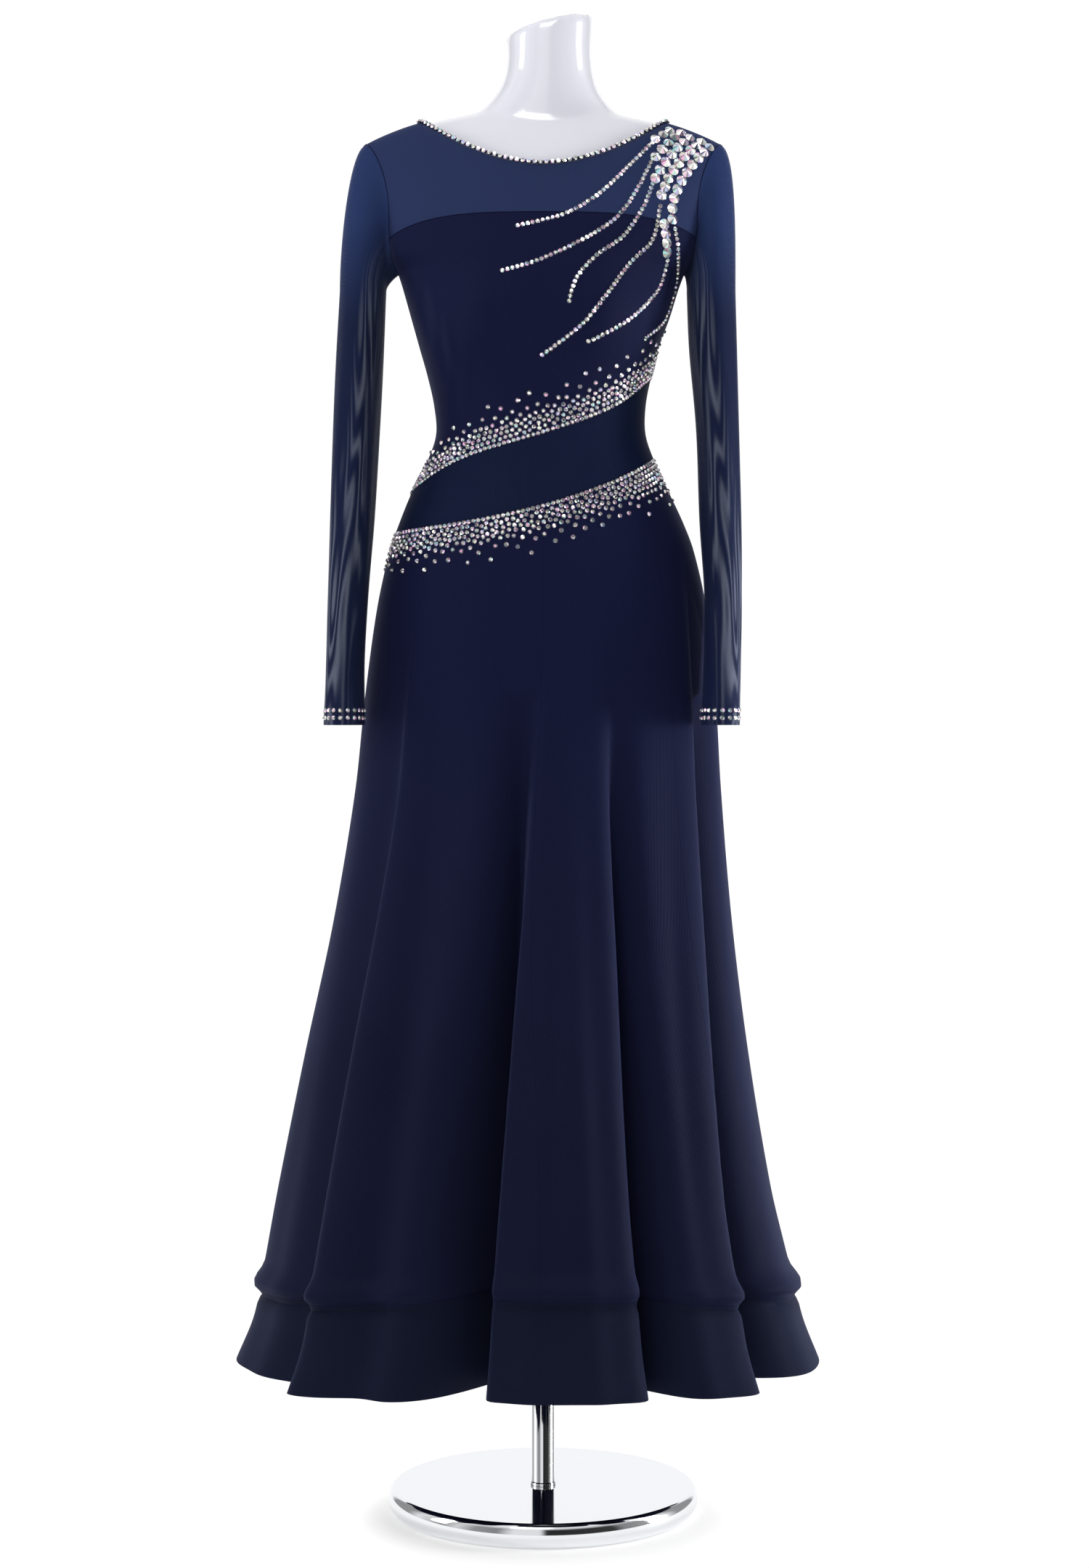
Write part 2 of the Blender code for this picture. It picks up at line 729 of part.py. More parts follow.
def make_yoke_back(mesh_cloth):
    outer = []
    inner = []
    for share in YOKE_SHARES:
        pairs = [yoke_outer(across, share, False) for across in ACROSS]
        outer.append([point for point, normal in pairs])
        inner.append([point - normal * CLOTH for point, normal in pairs])
    wall("yoke_back", outer, inner, mesh_cloth)


def stone_places():
    """Columns and rise angles of the large stones, in staggered columns down from the shoulder."""
    places = []
    for x, first, count in STONE_COLUMNS:
        for index in range(count):
            places.append(place_on_shoulder(x, first + index * STONE_PITCH))
    return places


def place_on_shoulder(x, along):
    """Column and rise angle of the point that lies a distance along the cloth below the ridge at x."""
    rise = 89.0
    walked = 0.0
    across = across_for_x(x, rise)
    here = shoulder_point(across, rise, True)
    while walked < along and rise > 1.0:
        rise -= 0.25
        across = across_for_x(x, rise)
        there = shoulder_point(across, rise, True)
        walked += (there - here).length
        here = there
    return across, rise


def across_for_x(x, rise):
    low = 0.0
    high = 1.0
    for _ in range(30):
        middle = (low + high) / 2
        if shoulder_point(middle, rise, True).x < x:
            low = middle
        else:
            high = middle
    return (low + high) / 2


# Columns and rise angles are brought to metres before the yoke's outline is filled
DOMAIN = 0.2
RISE_SCALE = DOMAIN / 90.0


def rim_points(across, rise):
    """Corners of a stone's rim, as columns and rise angles round its middle."""
    middle = shoulder_point(across, rise, True)
    step_u = 0.002
    step_v = -0.2
    along_u = (shoulder_point(across + step_u, rise, True) - middle) / step_u
    along_v = (shoulder_point(across, rise + step_v, True) - middle) / step_v
    uu = along_u.dot(along_u)
    uv = along_u.dot(along_v)
    vv = along_v.dot(along_v)
    right = along_u.normalized()
    up = (along_v - right * along_v.dot(right)).normalized()
    corners = []
    for index in range(STONE_SIDES):
        turn = 2 * math.pi * index / STONE_SIDES
        offset = (right * math.cos(turn) + up * math.sin(turn)) * STONE_RADIUS
        a = offset.dot(along_u)
        b = offset.dot(along_v)
        det = uu * vv - uv * uv
        corners.append((across + (a * vv - b * uv) / det, rise + (b * uu - a * uv) / det))
    return corners


def yoke_boundary():
    """The yoke front's outline in columns and rise angles, anticlockwise."""
    shares = YOKE_SHARES
    loop = [(yoke_column(across, 0.0, True), yoke_rise(across, 0.0, True)) for across in ACROSS]
    loop += [(yoke_column(1.0, share, True), yoke_rise(1.0, share, True)) for share in shares[1:]]
    loop += [(yoke_column(across, 1.0, True), yoke_rise(across, 1.0, True)) for across in ACROSS[-2::-1]]
    loop += [(yoke_column(-1.0, share, True), yoke_rise(-1.0, share, True)) for share in shares[-2:0:-1]]
    return loop


def filled_panel(loop, interior, rims):
    """Triangles that fill an outline through interior points, with each rim's edges kept."""
    places = [Vector((u * DOMAIN, v * RISE_SCALE)) for u, v in loop + interior]
    edges = []
    for rim in rims:
        first = len(places)
        places += [Vector((u * DOMAIN, v * RISE_SCALE)) for u, v in rim]
        edges += [(first + k, first + (k + 1) % len(rim)) for k in range(len(rim))]
    outline_face = [list(range(len(loop)))]
    result = delaunay_2d_cdt(places, edges, outline_face, 1, 1e-7)
    kept = [(spot.x / DOMAIN, spot.y / RISE_SCALE) for spot in result[0]]
    sources = [min(found) if found else -1 for found in result[3]]
    return kept, result[2], sources


def make_yoke_front(mesh_cloth):
    """Sheer front yoke with the large stones raised in its outer face, over a plain inside."""
    loop = yoke_boundary()
    stones = stone_places()
    plain = []
    for across in ACROSS[1:-1]:
        for share in YOKE_SHARES[1:-1]:
            plain.append((across, yoke_rise(across, share, True)))
    apart = []
    for across, rise in plain:
        here = shoulder_point(across, rise, True)
        gaps = [(here - shoulder_point(u, v, True)).length for u, v in stones]
        if min(gaps) > STONE_CLEAR:
            apart.append((across, rise))
    rims = [rim_points(across, rise) for across, rise in stones]
    outer_places, outer_faces, sources = filled_panel(loop, apart + stones, rims)
    inner_places, inner_faces, inner_sources = filled_panel(loop, plain, [])
    first_stone = len(loop) + len(apart)
    last_stone = first_stone + len(stones)
    points = []
    for (across, rise), source in zip(outer_places, sources):
        point = shoulder_point(across, rise, True)
        if first_stone <= source < last_stone:
            point += shoulder_normal(across, rise, True) * STONE_HEIGHT
        points.append(point)
    half = len(points)
    for across, rise in inner_places:
        normal = shoulder_normal(across, rise, True)
        points.append(shoulder_point(across, rise, True) - normal * CLOTH)
    faces = [tuple(face) for face in outer_faces]
    faces += [tuple(half + corner for corner in reversed(face)) for face in inner_faces]
    outer_of = {source: index for index, source in enumerate(sources)}
    inner_of = {source: index for index, source in enumerate(inner_sources)}
    for index in range(len(loop)):
        after = (index + 1) % len(loop)
        corners = (outer_of[index], half + inner_of[index], half + inner_of[after], outer_of[after])
        faces.append(corners)
    add_object("yoke_front", points, faces, mesh_cloth)


def armhole_turns(side):
    """Places round the armhole that match the corners of the bodice's and yoke's edges."""
    style = rise_for_height(side, True, style_height)
    rises = spaced(0.0, style, BODICE_UPPER_ROWS)
    rises += [yoke_rise(side, share, True) for share in YOKE_SHARES[1:-1]]
    front = [180.0 - 2 * rise for rise in reversed(rises)]
    back = [180.0 + 2 * rise for rise in rises[1:]]
    return [0.0] + front + back


def armhole(side, turn):
    """Outer and inner point of the body's edge at the armhole, and the way out across the seam.
    turn is 0 at the shoulder's ridge, 90 in front, 180 at the underarm and 270 behind."""
    front = turn <= 180.0
    rise = 90.0 - (turn / 2 if front else (360.0 - turn) / 2)
    rise = min(rise, TOP_RISE)
    point = shoulder_point(side, rise, front)
    normal = shoulder_normal(side, rise, front)
    inside = shoulder_point(side * 0.97, rise, front)
    along = shoulder_point(side, min(rise + 1.0, 90.0), front)
    along -= shoulder_point(side, max(rise - 1.0, 0.0), front)
    along.normalize()
    out = point - inside
    out -= along * out.dot(along)
    out.normalize()
    low = smooth_step((turn - 130.0) / 50.0) * smooth_step((230.0 - turn) / 50.0)
    sideways = Vector((side, 0.0, -0.45)).normalized()
    leave = (out * (1 - low) + sideways * low).normalized()
    gap_way = (out * (1 - low) + Vector((0.0, 0.0, 1.0)) * low).normalized()
    start = point + gap_way * SEAM_GAP
    return start, start - normal * CLOTH, leave


def sleeve_ring(table, side, turn, z):
    """Point of a hanging sleeve's section. turn is 0 at its outer edge and 90 at its front."""
    outer = table.read("outer", z)
    inner = table.read("inner", z)
    middle = (outer + inner) / 2
    half = (outer - inner) / 2
    angle = math.radians(turn)
    x = side * (middle + half * math.cos(angle))
    y = table.read("middle_y", z) - table.read("half_depth", z) * math.sin(angle)
    return Vector((x, y, z))


def sleeve_head(table, side, turn, share):
    """Point between the armhole and the hanging tube."""
    start, _, leave = armhole(side, turn)
    end = sleeve_ring(table, side, turn, SLEEVE_START_Z)
    span = (end - start).length
    t = share
    point = start * (1 + 2 * t) * (1 - t) ** 2
    point += leave * (SLEEVE_HEAD_LEAVE * span * t * (1 - t) ** 2)
    point += end * t * t * (3 - 2 * t)
    point += Vector((0.0, 0.0, -1.0)) * (SLEEVE_HEAD_ARRIVE * span * t * t * (t - 1))
    return point


def ring_normals(rows, row, column):
    """Normal of a tube's grid at a point, away from its middle."""
    columns = len(rows[0])
    before = max(row - 1, 0)
    after = min(row + 1, len(rows) - 1)
    down = rows[after][column] - rows[before][column]
    round_ = rows[row][(column + 1) % columns] - rows[row][(column - 1) % columns]
    return down.cross(round_).normalized()


def make_sleeve(name, side, rows_table, mesh_cloth):
    table = Table(SLEEVE_COLUMNS_NAMES, rows_table)
    turns = armhole_turns(side)
    outer = []
    for row in range(SLEEVE_HEAD_ROWS + 1):
        share = row / SLEEVE_HEAD_ROWS
        outer.append([sleeve_head(table, side, turn, share) for turn in turns])
    for z in SLEEVE_TUBE_HEIGHTS:
        outer.append([sleeve_ring(table, side, turn, z) for turn in turns])
    inner = [[armhole(side, turn)[1] for turn in turns]]
    for row in range(1, len(outer)):
        inner_row = []
        for column in range(len(turns)):
            normal = ring_normals(outer, row, column) * side
            inner_row.append(outer[row][column] + normal * CLOTH)
        inner.append(inner_row)
    tube_wall(name, outer, inner, mesh_cloth)


def neckline_loop():
    """Closed run of points and frames along the necklines, front then back."""
    loop = []
    front = NECK_PLACES
    back = front[-2:0:-1]
    for columns, is_front in ((front, True), (back, False)):
        for across in columns:
            rise = top_rise(across, is_front)
            point = shoulder_point(across, rise, is_front)
            normal = shoulder_normal(across, rise, is_front)
            loop.append((point, normal))
    return loop


def make_binding(jersey):
    """Rolled binding that caps the yokes' upper edge."""
    loop = neckline_loop()
    count = len(loop)
    rings = []
    for index, (point, normal) in enumerate(loop):
        along = (loop[(index + 1) % count][0] - loop[index - 1][0]).normalized()
        over_ridge = abs(abs(point.x) - SHOULDER_POINT_X) < 0.002
        if over_ridge:
            normal = Vector((0.0, 0.0, 1.0))
        inward = normal.cross(along).normalized()
        towards_opening = Vector((-point.x, 0.0, 0.06))
        if inward.dot(towards_opening) < 0:
            inward = -inward
        middle = point + normal * (BINDING_RADIUS - CLOTH) + inward * (BINDING_RADIUS + SEAM_GAP)
        ring = []
        for side in range(BINDING_SIDES):
            turn = 2 * math.pi * side / BINDING_SIDES
            ring.append(middle + (inward * math.cos(turn) + normal * math.sin(turn)) * BINDING_RADIUS)
        rings.append(ring)
    points = [point for ring in rings for point in ring]
    faces = []
    for index in range(count):
        for side in range(BINDING_SIDES):
            here = index * BINDING_SIDES + side
            beside = index * BINDING_SIDES + (side + 1) % BINDING_SIDES
            shift = ((index + 1) % count - index) * BINDING_SIDES
            faces.append((here, beside, beside + shift, here + shift))
    add_object("neck_binding", points, faces, jersey)


FORM_COLUMNS = 32
FORM_HEIGHTS = (
    0.905, 0.912, 0.95, 1.0, 1.05, 1.085, 1.117, 1.149, 1.181, 1.213, 1.245, 1.277, 1.309, 1.341,
)
FORM_RISES = (3.0, 12.0, 22.0, 33.0, 45.0, 57.0, 69.0, 79.0, 86.0, 89.0)
FORM_CORNER = 0.006
FORM_BUST = 0.7
FORM_CAP_X = 0.190


def form_shoulder(index, rise_angle):
    """Point of the form's shoulders: rounded caps close it at the armholes."""
    angle = 360.0 * index / FORM_COLUMNS
    turn = math.radians(angle)
    front = math.cos(turn) > 0
    rise = math.sin(math.radians(rise_angle))
    side = "left" if math.sin(turn) < 0 else "right"
    base = outline.read(side, UNDERARM_Z) - FORM_GAP
    cap = base + (FORM_CAP_X - base) * smooth_step(rise) ** 1.5
    depth = shoulders.read("front" if front else "back", rise)
    depth = max(depth - FORM_GAP, 0.0004)
    power = outline.read("power", UNDERARM_Z)
    sine = math.sin(turn)
    cosine = math.cos(turn)
    scale = (abs(sine) ** power + abs(cosine) ** power) ** (-1 / power)
    x = cap * sine * scale
    y = -depth * cosine * scale
    top = ridge.read("z", abs(x)) - SHOULDER_GAP
    z = UNDERARM_Z + (top - UNDERARM_Z) * rise
    return Vector((x, y - bust(x, y, z) * FORM_BUST, z))


def make_form(shell):
    """Smooth torso of the dress form, joined to its flared neck."""
    rings = []
    for z in FORM_HEIGHTS:
        inset = FORM_GAP + (FORM_CORNER if z == FORM_HEIGHTS[0] else 0.0)
        ring = [form_section(360.0 * k / FORM_COLUMNS, z, inset) for k in range(FORM_COLUMNS)]
        rings.append(ring)
    for rise in FORM_RISES:
        rings.append([form_shoulder(k, rise) for k in range(FORM_COLUMNS)])
    torso = closed_loft("form_torso", rings, shell)
    neck = closed_loft("form_neck_tool", neck_rings(), shell)
    union = torso.modifiers.new("join_neck", "BOOLEAN")
    union.operation = "UNION"
    union.object = neck
    neck.hide_render = True
    neck.display_type = "WIRE"


def form_section(angle, z, inset):
    """Point of the form inside the gown, without the skirt's folds."""
    turn = math.radians(angle)
    sine = math.sin(turn)
    cosine = math.cos(turn)
    power = outline.read("power", z)
    width = outline.read("left" if sine < 0 else "right", z) - inset
    depth = outline.read("front" if cosine > 0 else "back", z) - inset
    scale = (abs(sine) ** power + abs(cosine) ** power) ** (-1 / power)
    x = width * sine * scale
    y = -depth * cosine * scale
    return Vector((x, y - bust(x, y, z) * FORM_BUST, z))


def neck_rings():
    rings = []
    for z, half_width, half_depth, middle_x, middle_y in NECK:
        ring = []
        for index in range(NECK_SIDES):
            turn = 2 * math.pi * index / NECK_SIDES
            x = middle_x + half_width * math.sin(turn)
            y = middle_y - half_depth * math.cos(turn)
            ring.append(Vector((x, y, z)))
        rings.append(ring)
    top = []
    for index in range(NECK_SIDES):
        turn = 2 * math.pi * index / NECK_SIDES
        x = NECK[-1][3] + NECK_TOP_HALF * math.sin(turn)
        y = NECK[-1][4] - NECK[-1][2] * math.cos(turn)
        share = (math.sin(turn) + 1) / 2
        z = NECK_TOP_LEFT_Z + (NECK_TOP_RIGHT_Z - NECK_TOP_LEFT_Z) * share
        top.append(Vector((x, y, z)))
    rings.append(top)
    return rings


def turned(name, profile, sides, material):
    """Solid of revolution about the Z axis from a profile of radius and height, bottom to top."""
    rings = []
    for radius, z in profile:
        ring = []
        for index in range(sides):
            turn = 2 * math.pi * index / sides
            ring.append(Vector((radius * math.cos(turn), radius * math.sin(turn), z)))
        rings.append(ring)
    item = closed_loft(name, rings, material)
    item.data.set_sharp_from_angle(angle=math.radians(40))
    return item


def make_stand(chrome):
    """Round base, pole, and the plate and collar that carry the form."""
    rim = []
    for degrees in (-90, -60, -25, 25, 60, 90):
        turn = math.radians(degrees)
        radius = BASE_RADIUS - BASE_HEIGHT / 2 * 0.62 * (1 - math.cos(turn))
        rim.append((radius, BASE_HEIGHT / 2 * (1 + math.sin(turn))))
    turned("base_disc", rim, BASE_SIDES, chrome)
    plate_top = FORM_BOTTOM_Z - STAND_GAP
    plate_bottom = plate_top - PLATE_HEIGHT
    plate = ((PLATE_RADIUS, plate_bottom), (PLATE_RADIUS, plate_top))
    turned("form_plate", plate, POLE_SIDES, chrome)
    collar_top = plate_bottom - STAND_GAP
    collar = ((COLLAR_RADIUS, collar_top - COLLAR_HEIGHT), (COLLAR_RADIUS, collar_top))
    turned("pole_collar", collar, POLE_SIDES, chrome)
    pole_top = collar_top - COLLAR_HEIGHT - STAND_GAP
    pole = ((POLE_RADIUS, BASE_HEIGHT + STAND_GAP), (POLE_RADIUS, pole_top))
    turned("pole", pole, POLE_SIDES, chrome)


def make_gown():
    remove_scene_objects()
    jersey = make_material("navy_jersey", (0.010, 0.012, 0.035), 0.60)
    mesh_cloth = make_material("navy_mesh", (0.018, 0.030, 0.080), 0.65)
    shell = make_material("pearl_shell", (0.78, 0.78, 0.83), 0.12)
    chrome = make_material("polished_chrome", (0.80, 0.81, 0.83), 0.06, 1.0)
    make_skirt(jersey)
    make_insert(mesh_cloth)
    make_bodice(jersey)
    make_yoke_front(mesh_cloth)
    make_yoke_back(mesh_cloth)
    make_sleeve("sleeve_left", -1.0, LEFT_SLEEVE, mesh_cloth)
    make_sleeve("sleeve_right", 1.0, RIGHT_SLEEVE, mesh_cloth)
    make_binding(jersey)
    make_form(shell)
    make_stand(chrome)


make_gown()
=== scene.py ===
# %% [markdown]
# # A crystal-trimmed ballroom gown on its dress form
#
# The gown is thin stretch cloth over a smooth form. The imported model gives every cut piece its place
# and size. This script makes each piece again as a finer sheet with its creases, adds the seams and
# the crystals, and gives every surface its finish.

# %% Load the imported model
import math
import random

import bmesh
import bpy
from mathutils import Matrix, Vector
from mathutils.bvhtree import BVHTree


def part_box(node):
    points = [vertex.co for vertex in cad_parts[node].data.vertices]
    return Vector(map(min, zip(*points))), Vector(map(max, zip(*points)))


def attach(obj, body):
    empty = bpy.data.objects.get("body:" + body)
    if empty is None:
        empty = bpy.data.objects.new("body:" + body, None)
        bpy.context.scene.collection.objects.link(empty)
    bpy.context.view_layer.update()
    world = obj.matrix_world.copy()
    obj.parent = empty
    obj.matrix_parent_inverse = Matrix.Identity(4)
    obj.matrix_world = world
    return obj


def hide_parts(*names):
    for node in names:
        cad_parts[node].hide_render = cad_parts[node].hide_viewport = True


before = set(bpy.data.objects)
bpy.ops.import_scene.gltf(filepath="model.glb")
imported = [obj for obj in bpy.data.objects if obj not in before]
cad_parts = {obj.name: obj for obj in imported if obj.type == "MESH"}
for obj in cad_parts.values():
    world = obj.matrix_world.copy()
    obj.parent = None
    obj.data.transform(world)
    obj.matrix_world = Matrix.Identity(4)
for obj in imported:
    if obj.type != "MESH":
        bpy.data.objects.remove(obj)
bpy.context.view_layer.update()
print("solids in the frame:", len(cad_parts))

# %% [markdown]
# ## Helpers
#
# The room, the finishes and the sweeps below are all node trees. The output of a node is written as a
# (node, socket) pair, so that a helper can link it to an input as easily as it sets a plain value.

# %% Items and node trees
def add_item(name, data):
    """A new object, linked to the scene."""
    item = bpy.data.objects.new(name, data)
    bpy.context.scene.collection.objects.link(item)
    return item


def set_inputs(tree, node, inputs):
    """Give a node's inputs their values. A (node, socket) pair is linked."""
    for socket, value in inputs.items():
        if isinstance(value, tuple) and isinstance(value[0], bpy.types.Node):
            tree.links.new(value[0].outputs[value[1]], node.inputs[socket])
        else:
            node.inputs[socket].default_value = value


def add_node(tree, kind, inputs=None, **settings):
    """A new node with its settings, and then its inputs."""
    node = tree.nodes.new(kind)
    for name, value in settings.items():
        setattr(node, name, value)
    set_inputs(tree, node, inputs or {})
    return node


def new_tree(name, kind, inputs, outputs):
    """A node tree and its two end nodes. An input is a start value, or the type of its socket."""
    tree = bpy.data.node_groups.new(name, kind + "NodeTree")
    for label, value in inputs.items():
        socket_type = value if isinstance(value, str) else "Float"
        socket = tree.interface.new_socket(label, in_out="INPUT", socket_type="NodeSocket" + socket_type)
        if socket_type != value:
            socket.default_value = value
    for label, socket_type in outputs.items():
        tree.interface.new_socket(label, in_out="OUTPUT", socket_type="NodeSocket" + socket_type)
    return tree, tree.nodes.new("NodeGroupInput"), tree.nodes.new("NodeGroupOutput")


def new_material(name, roughness, metallic=0.0):
    material = bpy.data.materials.new(name)
    material.use_nodes = True
    tree = material.node_tree
    shader = tree.nodes["Principled BSDF"]
    set_inputs(tree, shader, {"Roughness": roughness, "Metallic": metallic})
    return material, tree, shader


# %% Outputs that many trees use
def object_place(tree):
    return add_node(tree, "ShaderNodeTexCoord"), "Object"


def math_node(tree, operation, *values):
    return add_node(tree, "ShaderNodeMath", dict(enumerate(values)), operation=operation), 0


def noise(tree, place, scale, detail=2.0):
    return add_node(tree, "ShaderNodeTexNoise", {"Vector": place, "Scale": scale, "Detail": detail}), 0


def share_between(tree, value, low, high):
    """How far a value has gone from low to high, from 0 to 1."""
    inputs = {"Value": value, "From Min": low, "From Max": high}
    return add_node(tree, "ShaderNodeMapRange", inputs), "Result"


def mixed_colour(tree, share, low, high):
    """A colour between low and high. Each is a plain colour or an output."""
    first, last = [end if isinstance(end[0], bpy.types.Node) else (*end, 1.0) for end in (low, high)]
    inputs = {"Factor": share, "A": first, "B": last}
    return add_node(tree, "ShaderNodeMix", inputs, data_type="RGBA"), "Result"


def colour_ramp(tree, place, stops):
    """A colour read from a row of (position, colour) stops."""
    node = add_node(tree, "ShaderNodeValToRGB", {"Fac": place})
    elements = node.color_ramp.elements
    while len(elements) < len(stops):
        elements.new(0.5)
    for element, (position, colour) in zip(elements, stops):
        element.position = position
        element.color = (*colour, 1.0)
    return node, "Color"


# %% [markdown]
# ## Camera, floor and light
#
# The picture was taken from hip height, 3.2 m in front of the gown, with a level camera. A level camera
# keeps the pole upright, and a small downward shift puts the base low in the picture. The camera itself
# sees a plain white room. Chrome and crystals only look real when they have dark and bright things to
# mirror, so what they see is a ring of pale and dark stripes, darkest behind the camera. Large soft
# lights at both sides model the folds.

# %% Camera
CAMERA_PLACE = Vector((0.0, -3.23, 0.861))
CAMERA_LENS = 67.3
SENSOR_WIDTH = 36.0
CAMERA_SHIFT = (0.0009, -0.037)


def make_camera():
    lens = bpy.data.cameras.new("camera")
    lens.lens = CAMERA_LENS
    lens.sensor_width = SENSOR_WIDTH
    lens.shift_x, lens.shift_y = CAMERA_SHIFT
    camera = add_item("camera", lens)
    camera.location = CAMERA_PLACE
    camera.rotation_euler = (math.radians(90), 0.0, 0.0)
    bpy.context.scene.camera = camera


make_camera()

# %% Floor
FLOOR_SIDE = 60.0
FLOOR_Z = -0.0005
FLOOR_ROUGHNESS = 0.8
FLOOR_SPECULAR = 0.1
SHADE_CENTRE = (0.0, 0.035, 0.0)
SHADE_REACH = 0.152
WHITE_FLOOR_REACH = 0.200
# Grey level by the base, and further away
FLOOR_TONES = {"Base Color": (0.72, 0.0), "Emission Color": (0.36, 1.0)}


def make_floor():
    """White by its own light, so that it meets the white room without an edge. Just in front of the
    base it is lit like any floor, so that the base has its soft shadow there."""
    half = FLOOR_SIDE / 2
    corners = [(-half, -half), (half, -half), (half, half), (-half, half)]
    mesh = bpy.data.meshes.new("floor")
    mesh.from_pydata([(x, y, FLOOR_Z) for x, y in corners], [], [(0, 1, 2, 3)])
    floor = add_item("floor", mesh)
    material, tree, shader = new_material("floor_white", FLOOR_ROUGHNESS)
    mesh.materials.append(material)
    moved = add_node(tree, "ShaderNodeVectorMath", {0: object_place(tree), 1: SHADE_CENTRE})
    distance = add_node(tree, "ShaderNodeVectorMath", {0: (moved, "Vector")}, operation="LENGTH")
    share = share_between(tree, (distance, "Value"), SHADE_REACH, WHITE_FLOOR_REACH)
    set_inputs(tree, shader, {"Specular IOR Level": FLOOR_SPECULAR, "Emission Strength": 1.0})
    for socket, (near, far) in FLOOR_TONES.items():
        set_inputs(tree, shader, {socket: mixed_colour(tree, share, (near,) * 3, (far,) * 3)})


make_floor()

# %% World and lights
ROOM_STRIPES = (
    # degrees round from straight behind the camera, + to the right, and brightness
    (-180, 1.00), (-150, 1.00), (-142, 0.30), (-116, 0.30), (-104, 0.80), (-92, 0.60), (-78, 0.30),
    (-66, 0.70), (-52, 0.30), (-34, 0.25), (-22, 0.80), (-2, 0.80), (2, 0.02), (54, 0.04), (62, 0.25),
    (92, 0.35), (104, 0.80), (116, 0.30), (142, 0.30), (150, 1.00), (180, 1.00),
)
CEILING = (0.85, 0.85, 0.86)
CEILING_START = 0.55
CEILING_END = 0.80
STRIPE_BLUE = 1.01
ROOM_STRENGTH = 1.02
LIGHTS = (
    # name, place, aim, size, watts, and spread in degrees
    ("left_light", (-2.6, -0.4, 1.5), (0.0, 0.0, 0.8), (0.7, 2.0), 17.5, 180),
    ("right_light", (2.5, 0.0, 1.3), (0.0, 0.0, 0.7), (0.7, 2.0), 29.0, 180),
    ("low_right_light", (2.5, 0.0, 0.62), (0.0, 0.0, 0.55), (0.7, 1.0), 4.6, 45),
    ("top_light", (-0.5, -2.4, 3.4), (0.0, 0.0, 1.3), (1.6, 1.2), 34.0, 180),
)


def make_world():
    world = bpy.data.worlds.new("striped_room")
    world.use_nodes = True
    tree = world.node_tree
    place = add_node(tree, "ShaderNodeTexCoord")
    split = add_node(tree, "ShaderNodeSeparateXYZ", {"Vector": (place, "Generated")})
    to_front = math_node(tree, "MULTIPLY", (split, "Y"), -1.0)
    turn = math_node(tree, "ARCTAN2", (split, "X"), to_front)
    stops = []
    for degrees, value in ROOM_STRIPES:
        stops.append((degrees / 360 + 0.5, (value, value, value * STRIPE_BLUE)))
    stripes = colour_ramp(tree, share_between(tree, turn, -math.pi, math.pi), stops)
    ceiling = share_between(tree, (split, "Z"), CEILING_START, CEILING_END)
    mirrored = mixed_colour(tree, ceiling, stripes, CEILING)
    sight = add_node(tree, "ShaderNodeLightPath")
    seen = mixed_colour(tree, (sight, "Is Camera Ray"), mirrored, (1.0, 1.0, 1.0))
    set_inputs(tree, tree.nodes["Background"], {"Color": seen, "Strength": ROOM_STRENGTH})
    bpy.context.scene.world = world


def make_light(name, place, aim, size, watts, spread):
    light = bpy.data.lights.new(name, "AREA")
    light.shape = "RECTANGLE"
    light.size, light.size_y = size
    light.energy = watts
    light.spread = math.radians(spread)
    item = add_item(name, light)
    item.location = place
    item.rotation_euler = (Vector(aim) - Vector(place)).to_track_quat("-Z", "Y").to_euler()


make_world()
for row in LIGHTS:
    make_light(*row)
bpy.context.scene.view_settings.view_transform = "Standard"

# %% [markdown]
# ## Shared effects
#
# The cloths share two effects, so each is a node group with named inputs. The knit group makes the fine
# ribs of jersey as a bump height, and a soft change of tone. The net group makes the pale fringes that
# show where two layers of sheer net cross. Both read the cloth's own map, which is in metres, so the
# pattern keeps its size and follows the cloth.

# %% Knit and net groups
RIB_PITCH = 0.0011
THREAD_PITCH = 0.0014
FUZZ_SCALE = 700.0
CLOUD_SCALE = 9.0
CLOUD_DETAIL = 3.0
GRAIN_DETAIL = 1.2
PATCH_STRETCH = (0.45, 0.8, 1.0)
PATCH_SHIFT = (3.1, 7.7, 0.0)
PATCH_DETAIL = 1.0
PATCH_START = 0.44
PATCH_END = 0.62
FRINGE_POWER = 2.2


def cloth_place(group):
    cloth = add_node(group, "ShaderNodeUVMap")
    return add_node(group, "ShaderNodeSeparateXYZ", {"Vector": (cloth, "UV")})


def sine_of_turns(group, turns):
    return math_node(group, "SINE", math_node(group, "MULTIPLY", turns, 2 * math.pi))


def make_knit_group():
    """Rib height and tone of jersey."""
    inputs = {"Rib Pitch": RIB_PITCH, "Tone": 1.0}
    group, start, end = new_tree("knit", "Shader", inputs, {"Height": "Float", "Tone": "Float"})
    turns = math_node(group, "DIVIDE", (cloth_place(group), "X"), (start, "Rib Pitch"))
    place = object_place(group)
    fuzz = noise(group, place, FUZZ_SCALE)
    cloud = noise(group, place, CLOUD_SCALE, CLOUD_DETAIL)
    height = math_node(group, "ADD", sine_of_turns(group, turns), fuzz)
    tone = math_node(group, "MULTIPLY", cloud, (start, "Tone"))
    set_inputs(group, end, {"Height": height, "Tone": tone})
    return group


